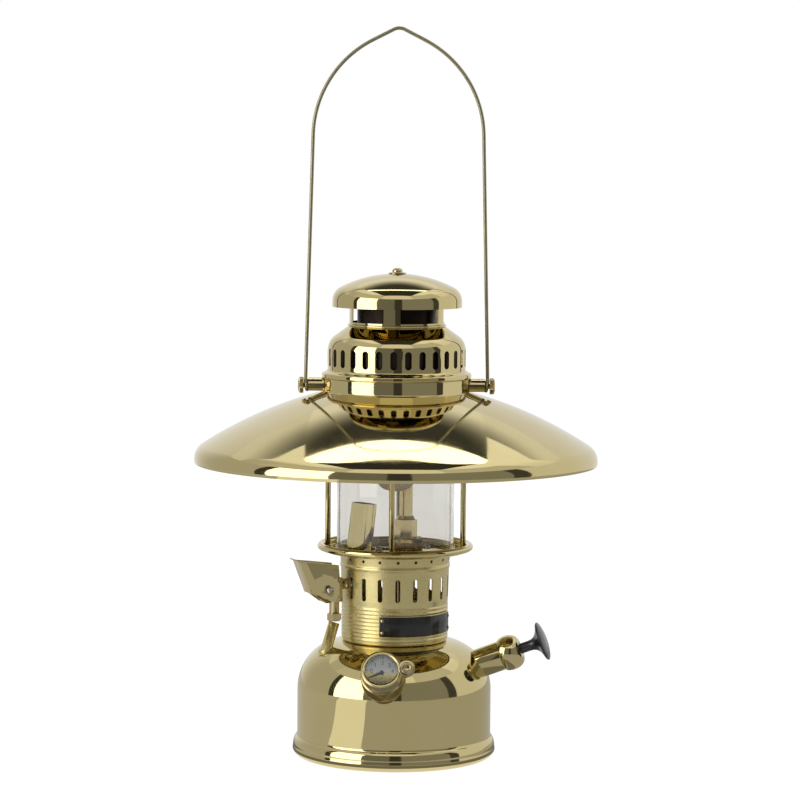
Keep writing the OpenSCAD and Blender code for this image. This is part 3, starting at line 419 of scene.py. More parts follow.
class Shape:
    """A mesh in the making, in millimetres, that becomes one finished piece."""

    def __init__(self) -> None:
        """Start with nothing."""
        self.bm = bmesh.new()

    def spin(self, line: Line, steps: int = 128, turn: float = 360.0, start: float = 0.0,
             closed: bool = False) -> "Shape":
        """Turn a line of (radius, height) points about the Z axis.

        Args:
            line: The points.
            steps: Steps of the turn.
            turn: Degrees of the turn.
            start: Bearing of the first line in degrees.
            closed: Whether the line is a closed loop.

        Returns:
            This shape.
        """
        # A sector is spun and then repeated, which is much quicker than one long spin
        sectors = max(n for n in range(1, MOST_SECTORS + 1) if steps % n == 0)
        part = Shape()
        at = turned("Z", start)
        verts = [part.bm.verts.new(at @ Vector((x, 0.0, z))) for x, z in line]
        pairs = list(zip(verts, verts[1:])) + ([(verts[-1], verts[0])] if closed else [])
        edges = [part.bm.edges.new(pair) for pair in pairs]
        bmesh.ops.spin(part.bm, geom=verts + edges, cent=(0, 0, 0), axis=(0, 0, 1),
                       angle=math.radians(turn / sectors), steps=steps // sectors)
        part.repeat(sectors, turn / sectors)
        return self.join(part.merge())

    def repeat(self, count: int, pitch: float) -> "Shape":
        """Repeat the shape about the Z axis, a number of times in all, a pitch in degrees apart."""
        bmesh.ops.spin(self.bm, geom=self.bm.verts[:] + self.bm.edges[:] + self.bm.faces[:],
                       cent=(0, 0, 0), axis=(0, 0, 1), angle=math.radians(pitch * (count - 1)),
                       steps=count - 1, use_duplicate=True)
        return self

    def pierce(self, line: Line, cut: Cut) -> "Shape":
        """Add the band of a spun wall that holds a ring of openings.

        Args:
            line: The wall's rising line.
            cut: The openings.

        Returns:
            This shape.
        """
        r = radius_at(line, cut.middle)
        tile = Shape()
        edges = []
        for loop in cut.rim(r):
            verts = [tile.bm.verts.new((x, 0.0, z)) for x, z in loop]
            edges += [tile.bm.edges.new(p) for p in zip(verts, verts[1:] + verts[:1])]
        made = bmesh.ops.bridge_loops(tile.bm, edges=edges)
        bmesh.ops.subdivide_edges(tile.bm, edges=made["edges"], cuts=TILE_ROWS, use_grid_fill=True)
        pitch = 360 / cut.count
        first = max(cut.skip, default=-1) + 1
        for v in tile.bm.verts:
            at = turned("Z", cut.start + first * pitch + math.degrees(v.co.x / r))
            v.co = at @ Vector((radius_at(line, v.co.z), 0.0, v.co.z))
        tiles = cut.count - len(cut.skip)
        self.join(tile.repeat(tiles, pitch))
        if cut.skip:
            rows = [cut.low + (cut.high - cut.low) * i / cut.up for i in range(cut.up + 1)]
            self.spin([(radius_at(line, z), z) for z in rows], cut.across * len(cut.skip),
                      pitch * len(cut.skip), cut.start + (min(cut.skip) - 0.5) * pitch)
        return self

    def wall(self, line: Line, cuts: list[Cut], thick: float) -> "Shape":
        """Spin a sheet wall with rings of openings and give it its thickness inwards.

        Args:
            line: The outer line, which rises through each ring of openings.
            cuts: The rings of openings, from low to high, with equal counts of steps.
            thick: Thickness of the sheet.

        Returns:
            This shape.
        """
        steps = cuts[0].count * cuts[0].across
        start = cuts[0].start - 180 / cuts[0].count
        ends = [None] + [z for cut in cuts for z in (cut.low, cut.high)] + [None]
        for low, high in zip(ends[::2], ends[1::2]):
            self.spin(cut_line(line, low, high), steps, start=start)
        for cut in cuts:
            self.pierce(line, cut)
        self.merge()
        face = max(self.bm.faces, key=lambda f: f.calc_center_median().xy.length)
        if face.normal.xy.dot(face.calc_center_median().xy) < 0:
            bmesh.ops.reverse_faces(self.bm, faces=self.bm.faces[:])
        bmesh.ops.solidify(self.bm, geom=self.bm.faces[:], thickness=thick)
        return self

    def block(self, size: Three, at: Matrix) -> "Shape":
        """Add a block of a size at a place."""
        bmesh.ops.create_cube(self.bm, size=1.0, matrix=at @ Matrix.Diagonal((*size, 1.0)))
        return self

    def knurl(self, low_r: float, depth: float, teeth: int) -> "Shape":
        """Draw in every other spin step beyond a radius, as a straight knurl.

        Args:
            low_r: Radius beyond which points belong to the knurl.
            depth: Depth of the grooves.
            teeth: Half of the shape's spin steps.

        Returns:
            This shape.
        """
        for v in self.bm.verts:
            r = v.co.xy.length
            if r > low_r and round(math.atan2(v.co.y, v.co.x) * teeth / math.pi) % 2:
                v.co.xy = v.co.xy * ((r - depth) / r)
        return self

    def plate(self, x: Point, y: Point, z: float) -> "Shape":
        """Add a flat rectangle.

        Args:
            x: Its first and last x.
            y: Its first and last y.
            z: Its height.

        Returns:
            This shape.
        """
        middle = shifted((x[0] + x[1]) / 2, (y[0] + y[1]) / 2, z)
        bmesh.ops.create_grid(self.bm, x_segments=1, y_segments=1, size=0.5,
                              matrix=middle @ Matrix.Diagonal((x[1] - x[0], y[1] - y[0], 1, 1)))
        return self

    def put(self, at: Matrix) -> "Shape":
        """Move the whole shape to a place."""
        bmesh.ops.transform(self.bm, matrix=at, verts=self.bm.verts)
        return self

    def join(self, other: "Shape") -> "Shape":
        """Take in another shape, which is used up."""
        mesh = other.mesh("joining")
        self.bm.from_mesh(mesh)
        bpy.data.meshes.remove(mesh)
        return self

    def copy_of(self, node: str) -> "Shape":
        """Take in a copy of a CAD node's mesh."""
        self.bm.from_mesh(frame["nodes"][node].data)
        return self.put(TO_MM)

    def drawn(self, curve: bpy.types.Curve) -> "Shape":
        """Take in the mesh of a curve or a text.

        Args:
            curve: The curve or text, which is used up.

        Returns:
            This shape.
        """
        made = bpy.data.objects.new(curve.name, curve)
        mesh = bpy.data.meshes.new_from_object(made)
        self.bm.from_mesh(mesh)
        bpy.data.objects.remove(made)
        bpy.data.curves.remove(curve)
        bpy.data.meshes.remove(mesh)
        return self

    def mesh(self, name: str) -> bpy.types.Mesh:
        """Turn the shape, which is used up, into a mesh.

        Args:
            name: The mesh's name.

        Returns:
            The mesh, in the shape's own units.
        """
        made = bpy.data.meshes.new(name)
        self.bm.to_mesh(made)
        self.bm.free()
        return made

    def merge(self) -> "Shape":
        """Merge doubled points and point the faces outwards."""
        bmesh.ops.remove_doubles(self.bm, verts=self.bm.verts, dist=MERGE_MM)
        bmesh.ops.recalc_face_normals(self.bm, faces=self.bm.faces)
        return self

    def piece(self, name: str, kind: Kind, node: str, sharp: float = 32.0, bevel: float = 0.0,
              facing: bool = True, stands: bool = True) -> bpy.types.Object:
        """Finish the shape as a piece that rides on a CAD node's body.

        Args:
            name: The piece's name.
            kind: Its finish.
            node: The CAD node that gives its body.
            sharp: Angle in degrees above which an edge stays sharp.
            bevel: Width in millimetres of a live bevel on sharp edges, or 0.
            facing: Whether the faces are merged and turned outwards here.
            stands: Whether the piece stands for the node, or is a detail on it.

        Returns:
            The piece's object.
        """
        if facing:
            self.merge()
        mesh = self.put(TO_METRES).mesh(name)
        mesh.shade_smooth()
        if not bevel:
            mesh.set_sharp_from_angle(angle=math.radians(sharp))
        made = linked(name, mesh)
        mesh.materials.append(kind.value.material())
        if bevel:
            edge = made.modifiers.new("edges", "BEVEL")
            edge.width, edge.segments, edge.profile = bevel * MM, 2, 0.5
            edge.limit_method, edge.angle_limit = "ANGLE", math.radians(sharp)
            edge.harden_normals = True
        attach(made, BODY_OF[node])
        if stands:
            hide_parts(node)
        LOG.info("%s: %d faces, %s %s", name, len(mesh.polygons), "for" if stands else "on", node)
        return made


def smooth_copies(kind: Kind, *nodes: str, bevel: float = 0.0, sharp: float = 28.0) -> None:
    """Stand smooth copies in for CAD nodes whose shape is right.

    Args:
        kind: Their finish.
        *nodes: The nodes.
        bevel: Width of a bevel on their sharp edges, or 0.
        sharp: Angle in degrees above which an edge stays sharp.
    """
    for node in nodes:
        Shape().copy_of(node).piece(node + "_made", kind, node, bevel=bevel, sharp=sharp)


# ---------------------------------------------------------------- studio

@dataclass(frozen=True)
class Panel:
    """One upright card of the studio tent, seen only in reflections."""

    left: float
    right: float
    glow: float
    far: float


@dataclass
class Studio:
    """Floor, light, reflected cards and camera. Metres, bearings from the camera's side."""

    eye: Three = (0.003, -2.44, 0.4912)
    pitch: float = 4.52
    roll: float = 0.476
    focal_px: float = 2934.0
    frame_px: float = 800.0
    sensor_mm: float = 36.0
    plain_light: float = 0.5
    aim: Three = (0.0, 0.0, 0.25)
    paper_glow: float = 0.94
    paper_half: float = 9.0
    paper_z: float = -0.0004
    tent_r: float = 1.6
    tent_top: float = 2.3
    wall_top: float = 1.3
    card_z: float = 0.001
    near_r: float = 0.13
    foot_r: float = 0.087
    card_step: float = 4.0
    fade: Point = (0.3, 1.0)
    lift: float = 1.39
    tent: list[Panel] = field(default_factory=lambda: [
        Panel(-180, -82, 0.63, 0.4), Panel(-82, -74, 0.04, 0.04), Panel(-74, -36, 2.2, 2.2),
        Panel(-36, -4.5, 0.15, 0.15), Panel(-4.5, 8.7, 0.04, 0.04), Panel(8.7, 66, 0.21, 0.21),
        Panel(66, 78, 0.05, 0.05), Panel(78, 180, 0.6, 0.6)])

    def build(self) -> None:
        """Make the camera first, then floor, light and cards."""
        bpy.context.scene.view_settings.view_transform = "Standard"
        self.camera()
        self.world()
        self.floor()
        self.lights()
        self.cards()

    def camera(self) -> None:
        """Stand the camera where the photograph was taken from."""
        data = bpy.data.cameras.new("camera")
        data.sensor_width = self.sensor_mm
        data.lens = self.focal_px / self.frame_px * self.sensor_mm
        made = linked("camera", data)
        made.matrix_world = (Matrix.Translation(self.eye) @ turned("X", 90 - self.pitch)
                             @ turned("Z", self.roll))
        bpy.context.scene.camera = made

    def seen(self, tree: bpy.types.NodeTree) -> bpy.types.NodeSocket:
        """Tell the rays that see the background: camera, glossy and transmission rays.

        Args:
            tree: The node tree of the world or the floor.

        Returns:
            A socket that is 1 for those rays and 0 for others.
        """
        path = add_node(tree, "ShaderNodeLightPath").outputs
        first = add_node(tree, "ShaderNodeMath", {
            0: path["Is Camera Ray"], 1: path["Is Glossy Ray"]}, operation="MAXIMUM")
        both = add_node(tree, "ShaderNodeMath", {
            0: first.outputs[0], 1: path["Is Transmission Ray"]}, operation="MAXIMUM")
        return both.outputs[0]

    def world(self) -> None:
        """White where it is seen, and a plain level of light elsewhere."""
        made = bpy.data.worlds.new("studio")
        tree = empty_tree(made)
        level = add_node(tree, "ShaderNodeMapRange", {
            "Value": self.seen(tree), "To Min": self.plain_light, "To Max": 1.0})
        sky = add_node(tree, "ShaderNodeBackground", {
            "Color": (1.0, 1.0, 1.0, 1.0), "Strength": level.outputs["Result"]})
        add_node(tree, "ShaderNodeOutputWorld", {"Surface": sky.outputs["Background"]})
        bpy.context.scene.world = made

    def floor(self) -> None:
        """A pale floor that shows white and keeps the soft shadow."""
        made = bpy.data.materials.new("paper_floor")
        tree = empty_tree(made)
        paper = add_node(tree, "ShaderNodeBsdfDiffuse", {"Color": linear("#6e6e6d")})
        level = add_node(tree, "ShaderNodeMapRange", {
            "Value": self.seen(tree), "To Min": 0.0, "To Max": self.paper_glow})
        glow = add_node(tree, "ShaderNodeEmission", {"Strength": level.outputs["Result"]})
        both = add_node(tree, "ShaderNodeAddShader", {
            0: paper.outputs["BSDF"], 1: glow.outputs["Emission"]})
        add_node(tree, "ShaderNodeOutputMaterial", {"Surface": both.outputs["Shader"]})
        span = (-self.paper_half, self.paper_half)
        self.stage("floor", Shape().plate(span, span, self.paper_z), made)

    def stage(self, name: str, shape: Shape, material: bpy.types.Material) -> bpy.types.Object:
        """Make a stage object of a shape in metres.

        Args:
            name: Its name.
            shape: Its shape, which is used up.
            material: Its material.

        Returns:
            The object.
        """
        mesh = shape.mesh(name)
        mesh.materials.append(material)
        made = linked(name, mesh)
        return made

    def lights(self) -> None:
        """A soft box on the left, one overhead and a weak fill on the right, for matt surfaces."""
        for name, at, size, power in (
                ("left_box", (-1.5, -1.0, 0.9), 1.1, 16.0),
                ("top_box", (0.0, 0.3, 2.3), 1.3, 16.0),
                ("right_fill", (1.7, -0.6, 0.8), 1.0, 6.0)):
            data = bpy.data.lights.new(name, "AREA")
            data.size, data.energy = size, power
            made = linked(name, data)
            facing = (Vector(self.aim) - Vector(at)).to_track_quat("-Z", "Y")
            made.matrix_world = Matrix.Translation(at) @ facing.to_matrix().to_4x4()
            made.visible_glossy = made.visible_transmission = False

    def card(self, name: str, shape: Shape, glow: Point, middle: Point, reach: Point) -> None:
        """Hang a card that only reflections see.

        Args:
            name: The card's name.
            shape: Its shape in metres, which is used up.
            glow: Its brightness near a middle and far from it.
            middle: The middle's x and y in metres.
            reach: How far along x and y the brightness stops changing, in metres.
        """
        made = bpy.data.materials.new(name)
        tree = empty_tree(made)
        place = add_node(tree, "ShaderNodeMapping", {
            "Vector": add_node(tree, "ShaderNodeTexCoord").outputs["Object"],
            "Location": (-middle[0] / reach[0], -middle[1] / reach[1], 0.0),
            "Scale": (1 / reach[0], 1 / reach[1], 0.0)})
        away = add_node(tree, "ShaderNodeVectorMath", {0: place.outputs["Vector"]},
                        operation="LENGTH")
        level = add_node(tree, "ShaderNodeMapRange", {
            "Value": away.outputs["Value"], "From Min": self.fade[0], "From Max": self.fade[1],
            "To Min": glow[0] * self.lift, "To Max": glow[1] * self.lift},
            interpolation_type="SMOOTHSTEP")
        light = add_node(tree, "ShaderNodeEmission", {"Strength": level.outputs["Result"]})
        add_node(tree, "ShaderNodeOutputMaterial", {"Surface": light.outputs["Emission"]})
        card = self.stage(name, shape, made)
        card.visible_camera = card.visible_diffuse = card.visible_transmission = False
        card.visible_shadow = card.visible_volume_scatter = False

    def cards(self) -> None:
        """Hang the tent that the polished brass mirrors: walls, floor and ceiling."""
        r, top, low = self.tent_r, self.wall_top, self.card_z
        wall, upper = [(r, 0.0), (r, top)], [(r, top), (1.3, 2.2)]
        ground = [(self.near_r, low), (r, low)]
        rings = [(f"wall_card_{i}", wall, p.left, p.right, (p.glow, p.far))
                 for i, p in enumerate(self.tent)]
        rings += [("upper_left_card", upper, -95, -30, (0.5, 0.5)),
                  ("upper_right_card", upper, 30, 95, (0.5, 0.5)),
                  ("upper_front_card", [(r, top), (1.25, 2.0)], -30, 30, (0.7, 0.7)),
                  ("floor_card", ground, -30, 200, (0.36, 0.36)),
                  ("floor_left_card", ground, 200, 295, (0.42, 0.42)),
                  ("floor_lit_card", ground, -65, -30, (0.78, 0.78)),
                  ("floor_near_card", [(self.foot_r, low), (self.near_r, low)], -180, 180,
                   (0.16, 0.16))]
        for name, line, left, right, glow in rings:
            steps = max(2, round((right - left) / self.card_step))
            ring = Shape().spin(line, steps, right - left, left - 90)
            self.card(name, ring, glow, (0.0, r), (r, r))
        # Each ceiling card's brightness changes from a middle, over a reach, both as x and y
        pool = ((0.0, 1.1), (2.0, 1.65))
        left, right = ((-0.8, 0.0), (0.9, 50.0)), ((0.8, 0.0), (1.4, 50.0))
        for name, x, y, glow, change in (
                ("back_card", (-0.8, 0.8), (1.01, 3.2), (0.04, 0.72), pool),
                ("back_left_card", (-3.4, -0.8), (1.38, 3.2), (0.04, 0.62), pool),
                ("back_right_card", (0.8, 3.4), (1.7, 3.2), (0.04, 0.66), pool),
                ("soft_box", (-0.8, 0.8), (0.6, 1.01), (2.4, 2.4), pool),
                ("left_wing", (-3.4, -0.8), (-0.6, 1.38), (0.83, 0.44), left),
                ("right_wing", (0.8, 3.4), (-0.6, 1.7), (0.85, 0.72), right),
                ("front_flag", (-0.8, 0.8), (-1.2, 0.6), (0.03, 0.03), pool)):
            self.card(name, Shape().plate(x, y, self.tent_top), glow, *change)


# ---------------------------------------------------------------- tank and its fittings

@dataclass
class Tank:
    """The spun tank with its rolled foot, in millimetres."""

    wall_r: float = 81.2
    shoulder_r: float = 41.0
    shoulder_z: float = 56.0
    foot_r: float = 79.0
    bead: float = 6.0
    top: float = 97.0
    sheet: float = 0.8
    sharp: float = 40.0
    # Bearing, seat and tilt of a fitting, in degrees
    filler_seat: Three = (-96.0, 24.0, 36.0)
    filler_hole_r: float = 13.65
    pump_seat: Three = (-8.0, 35.0, 21.0)
    pump_hole_r: float = 12.3
    vaporiser_seat: Point = (9.0, 26.0)
    vaporiser_hole_r: float = 8.0
    drill: Point = (-18.0, 22.0)

    @property
    def filler(self) -> Matrix:
        """Frame of the filler cap."""
        return self.on_shoulder(*self.filler_seat)

    @property
    def pump(self) -> Matrix:
        """Frame of the pump."""
        return self.on_shoulder(*self.pump_seat)

    def on_shoulder(self, az: float, seat: float, tilt: float) -> Matrix:
        """Give the frame of a fitting on the shoulder.

        Args:
            az: Bearing in degrees, from the X axis.
            seat: Angle in degrees up the shoulder's round at which the fitting sits.
            tilt: Angle in degrees at which its axis rises.

        Returns:
            The frame, whose Z leaves the tank.
        """
        a = math.radians(seat)
        out = self.wall_r - self.shoulder_r + self.shoulder_r * math.cos(a)
        up = self.shoulder_z + self.shoulder_r * math.sin(a)
        return turned("Z", az) @ shifted(out, 0, up) @ turned("Y", 90 - tilt)

    def build(self) -> None:
        """Make the shell and the bottom."""
        r, b = self.wall_r, self.bead
        skirt = eased([(r, 24.0), (r, 18.0), (r + 0.4, 16.6), (r + 1.5, 15.6), (r + 2.6, 13.8),
                       (self.foot_r + 5.5, b + 4.4), (self.foot_r + b * 0.94, b + 2.05)], 1.2, 4)
        shoulder = arc(r - self.shoulder_r, self.shoulder_z, self.shoulder_r, 90, 0, 40)
        line = ([(0.0, self.top)] + shoulder + skirt + arc(self.foot_r, b, b, 18, -90, 14)
                + [(self.foot_r - 4, 0.0)])
        shell = Shape().spin(line + moved(line, -self.sheet)[::-1], 192)
        made = shell.piece("tank_shell", Kind.BRASS, "tank", sharp=self.sharp)
        for at, hole_r in ((self.filler, self.filler_hole_r), (self.pump, self.pump_hole_r),
                           (shifted(*self.vaporiser_seat, self.top), self.vaporiser_hole_r)):
            self.pierce(made, at, hole_r)
        made.data.set_sharp_from_angle(angle=math.radians(self.sharp))
        smooth_copies(Kind.BRASS, "tank_bottom")

    def pierce(self, shell: bpy.types.Object, at: Matrix, hole_r: float) -> None:
        """Cut a round hole in the shell.

        Args:
            shell: The shell's object.
            at: The hole's frame, whose Z runs through the wall.
            hole_r: The hole's radius.
        """
        low, high = self.drill
        tool = Shape().spin([(0.0, low), (hole_r, low), (hole_r, high), (0.0, high)], 96)
        mesh = tool.put(at).merge().put(TO_METRES).mesh("hole")
        cutter = linked("hole", mesh)
        cut = shell.modifiers.new("hole", "BOOLEAN")
        cut.operation, cut.object, cut.solver = "DIFFERENCE", cutter, "EXACT"
        graph = bpy.context.evaluated_depsgraph_get()
        whole, shell.data = shell.data, bpy.data.meshes.new_from_object(shell.evaluated_get(graph))
        shell.modifiers.clear()
        bpy.data.objects.remove(cutter)
        bpy.data.meshes.remove(mesh)
        bpy.data.meshes.remove(whole)
        shell.data.name = shell.name


@dataclass
class Filler:
    """The filler cap with its pressure gauge and vent screw, in its own frame."""

    at: Matrix
    radius: float = 18.0
    case_r: float = 16.6
    height: float = 25.0
    skirt: float = 2.096
    bore_r: float = 13.95
    well_r: float = 14.9
    bezel_r: float = 13.3
    dial_r: float = 14.85
    floor: float = 19.0
    dial_h: float = 0.8
    teeth: int = 84
    groove: float = 0.45
    scale_r: float = 14.6
    scale_h: float = 0.12
    scale_from: float = 172.0
    scale_turn: float = -164.0
    ticks: int = 20
    group: int = 5
    tick_r: float = 13.8
    short_tick: Point = (1.6, 0.4)
    long_tick: Point = (2.6, 0.6)
    figure_r: float = 8.2
    figure_size: float = 4.6
    print_z: float = 0.15
    ink: float = 0.03
    needle_turn: float = 25.0
    needle_y: float = -5.9
    needle_z: float = 0.9
    needle_l: float = 11.5
    needle_r: Point = (0.8, 0.25)
    vent_seat: Three = (-3.0, 17.5, 12.0)
    vent_lean: Point = (13.0, -10.0)

    def build(self) -> None:
        """Make the cap, the gauge and the vent screw."""
        over, back = self.vent_lean
        vent = self.at @ shifted(*self.vent_seat) @ turned("Y", over) @ turned("X", back)
        self.cap(vent)
        self.gauge()
        head = [(0.0, 6.0), (1.7, 6.0), (1.7, 18.0), (6.4, 18.0), (7.0, 18.6), (7.0, 22.2),
                (6.4, 22.9), (4.8, 23.0), (4.2, 24.2), (3.0, 24.2), (2.4, 23.4), (0.0, 23.4)]
        screw = Shape().spin(eased(head, 0.3, 2), 72).knurl(6.7, self.groove, 36)
        screw.put(vent).piece("vent_thumb_screw", Kind.FITTING, "vent_screw")
        smooth_copies(Kind.FITTING, "filler_neck")
        smooth_copies(Kind.RUBBER, "filler_gasket")

    def cap(self, vent: Matrix) -> None:
        """Turn the cap with its fine ridges and join the vent's boss.

        Args:
            vent: Frame of the vent screw.
        """
        r, c, h = self.radius, self.case_r, self.height
        z = self.skirt
        line = eased([(0.0, z + 5.2), (self.bore_r, z + 5.2), (self.bore_r, z), (r - 0.5, z),
                      (r, z + 0.6), (r, z + 13.7), (r - 0.6, z + 14.3), (c, z + 14.4), (c, h),
                      (self.well_r, h), (self.well_r, self.floor), (0.0, self.floor)], 0.3, 2)
        cap = Shape().spin(line, 2 * self.teeth).knurl(r - 0.25, self.groove, self.teeth)
        boss = [(0.0, -2.0), (3.0, -2.0), (3.0, 17.0), (2.6, 17.5), (0.0, 17.5)]
        cap.put(self.at).join(Shape().spin(eased(boss, 0.3, 2), 48).put(vent))
        cap.piece("filler_cap_turned", Kind.FITTING, "filler_cap")

    def gauge(self) -> None:
        """Make bezel, window, dial, scale and needle."""
        c, h, d, b = self.case_r, self.height, self.dial_r, self.bezel_r
        ring = eased([(b, h + 0.02), (c, h + 0.02), (c, h + 1.0), (c - 0.8, h + 1.62),
                      (b + 0.6, h + 1.62), (b, h + 1.1)], 0.4, 3)
        bezel = Shape().spin(ring, 128, closed=True).put(self.at)
        bezel.piece("gauge_bezel_ring", Kind.BRASS, "gauge_bezel")
        pane = eased([(0.0, h - 1.8), (d, h - 1.8), (d, h - 0.15), (0.0, h)], 0.2, 2)
        Shape().spin(pane, 96).put(self.at).piece("gauge_window", Kind.WINDOW, "gauge_glass")
        low, top = self.floor, self.floor + self.dial_h
        plate = [(0.0, low), (d, low), (d, top - 0.1), (d - 0.1, top), (0.0, top)]
        Shape().spin(plate, 96).put(self.at).piece("gauge_plate", Kind.SATIN, "gauge_dial")
        self.scale(top)
        hub = [(0.0, top + 0.6), (1.6, top + 0.6), (1.6, top + 1.1), (0.9, top + 1.4),
               (0.0, top + 1.4)]
        needle = Shape().spin(eased(hub, 0.2, 2), 32)
        lie = turned("Z", self.needle_turn) @ shifted(0, self.needle_y, top + self.needle_z)
        hand = bmesh.ops.create_cone(needle.bm, cap_ends=True, segments=4,
                                     radius1=self.needle_r[0], radius2=self.needle_r[1],
                                     depth=self.needle_l,
                                     matrix=lie @ turned("X", 90) @ turned("Z", 45))
        bmesh.ops.scale(needle.bm, vec=(1, 1, 0.5), verts=hand["verts"],
                        space=shifted(0, 0, -top - self.needle_z))
        needle.put(self.at).piece("gauge_pointer", Kind.INK, "gauge_needle")

    def scale(self, top: float) -> None:
        """Lay the silver scale with plain ticks and numbers on the dial's upper half.

        Args:
            top: Height of the dial's face.
        """
        up = self.at @ turned("Z", 90)
        r, high, inks = self.scale_r, top + self.scale_h, top + self.print_z
        half = [(0.05, top), (r, top), (r, high), (0.05, high)]
        plate = Shape().spin(half, 60, 180.0, closed=True)
        bmesh.ops.holes_fill(plate.bm, edges=plate.bm.edges, sides=4)
        plate.put(up).piece("gauge_scale", Kind.DIAL, "gauge_dial", stands=False)
        marks = Shape()
        for i in range(self.ticks + 1):
            bearing = self.scale_from + self.scale_turn * i / self.ticks
            figure, short = divmod(i, self.group)
            long, wide = self.short_tick if short else self.long_tick
            marks.block((long, wide, 2 * self.ink),
                        turned("Z", bearing) @ shifted(self.tick_r - long / 2, 0, inks))
            if not short:
                x, y = arc(0.0, 0.0, self.figure_r, bearing, bearing, 1)[0]
                marks.join(self.figure(str(figure)).put(shifted(x, y, inks)))
        marks.put(up).piece("gauge_marks", Kind.INK, "gauge_dial", facing=False, stands=False)

    def figure(self, text: str) -> Shape:
        """Give a plain figure as a flat shape, centred, about 3.4 mm high.

        Args:
            text: The figure.

        Returns:
            Its shape.
        """
        curve = bpy.data.curves.new("figure", "FONT")
        curve.body, curve.size, curve.extrude = text, self.figure_size, self.ink
        curve.align_x, curve.align_y = "CENTER", "CENTER"
        return Shape().drawn(curve)


@dataclass
class Pump:
    """The air pump with its screwed cap and trumpet knob, along its own axis."""

    at: Matrix
    sleeve_r: float = 12.25
    cap_r: float = 14.75
    reach: float = 18.0
    top: float = 35.5
    cap_bore_r: float = 10.5
    rod_hole_r: float = 4.7
    knob_r: float = 16.5
    stem_r: float = 4.35
    barrel_r: float = 10.4
    bore_r: float = 9.2
    valve_r: float = 2.5
    back: float = -86.0
    sleeve_z: float = -14.0

    def build(self) -> None:
        """Make the cap, the knob and the barrel, and copy the rest."""
        self.cap()
        self.knob()
        self.barrel()
        smooth_copies(Kind.FITTING, "pump_check_valve", "pump_nut")
        smooth_copies(Kind.STEEL, "pump_rod")
        smooth_copies(Kind.LEATHER, "pump_leather")

    def cap(self) -> None:
        """Turn the bellied cap with the hole for the rod."""
        r, bore, hole = self.cap_r, self.cap_bore_r, self.rod_hole_r
        z0, z1 = self.reach, self.top
        line = eased([(bore, z0), (r - 1.8, z0), (r - 0.6, z0 + 2.4), (r, z0 + 5.6), (r, z0 + 8.4),
                      (r - 0.6, z0 + 11.6), (r - 1.9, z0 + 14.4), (r - 3.9, z1 - 1.0),
                      (r - 6.5, z1), (hole, z1), (hole, z1 - 5.0), (bore, z1 - 5.0)], 1.4, 4)
        cap = Shape().spin(line, 96, closed=True).put(self.at)
        cap.piece("pump_cap_turned", Kind.BRASS, "pump_cap")

    def knob(self) -> None:
        """Turn the trumpet knob, whose stem enters the cap."""
        r, stem, z = self.knob_r, self.stem_r, self.top
        line = [(0.0, z - 3), (stem, z - 3), (stem, z + 8.0), (r * 0.29, z + 10.6),
                (r * 0.36, z + 12.9), (r * 0.5, z + 15.0), (r * 0.72, z + 16.7),
                (r * 0.94, z + 17.8), (r, z + 18.6), (r, z + 19.3), (r * 0.96, z + 20.1),
                (r * 0.78, z + 21.2), (r * 0.45, z + 22.3), (0.0, z + 22.7)]
        knob = Shape().spin(eased(eased(line, 2.0, 4), 0.6, 2), 112).put(self.at)
        knob.piece("pump_trumpet_knob", Kind.PHENOLIC, "pump_knob", sharp=50)

    def barrel(self) -> None:
        """Turn the barrel with the sleeve that shows outside the tank."""
        r, q, v, sleeve = self.barrel_r, self.bore_r, self.valve_r, self.sleeve_r
        z0, z1, back = self.reach, self.top - 6.0, self.back
        line = eased([(v, back), (r, back), (r, self.sleeve_z), (sleeve, self.sleeve_z),
                      (sleeve, z0), (r, z0), (r, z1), (q, z1), (q, back + 2.0), (v, back + 2.0)],
                     0.25, 2)
        barrel = Shape().spin(line, 96, closed=True).put(self.at)
        barrel.piece("pump_sleeve", Kind.BRASS, "pump_barrel")


@dataclass
class Preheater:
    """The blow lamp that warms the burner: tube, valve, lever and flame tube."""

    edge: float = 0.35

    def build(self) -> None:
        """Copy its pieces, with broken edges on the folded lever and the valve."""
        smooth_copies(Kind.SATIN, "preheater_tube")
        smooth_copies(Kind.FITTING, "preheater_nut", "preheater_pipe")
        smooth_copies(Kind.FITTING, "preheater_valve", bevel=self.edge)
        smooth_copies(Kind.BRASS, "preheater_lever", bevel=self.edge)
        smooth_copies(Kind.BRASS, "preheater_flame_tube")
        smooth_copies(Kind.STEEL, "preheater_spindle", "preheater_pin")


@dataclass
class Vaporiser:
    """The vaporiser with its control wheel and spirit cup."""

    edge: float = 0.5

    def build(self) -> None:
        """Copy its pieces, with a rounded edge on the wheel."""
        smooth_copies(Kind.FITTING, "vaporiser_base", "vaporiser_nut", "vaporiser_tube",
                      "vaporiser_jet", "pickup_tube", "gland_nut")
        smooth_copies(Kind.BRASS, "spirit_cup")
        smooth_copies(Kind.STEEL, "cleaning_rod", "control_spindle")
        smooth_copies(Kind.PHENOLIC, "handwheel", bevel=self.edge)


# ---------------------------------------------------------------- collar and cage

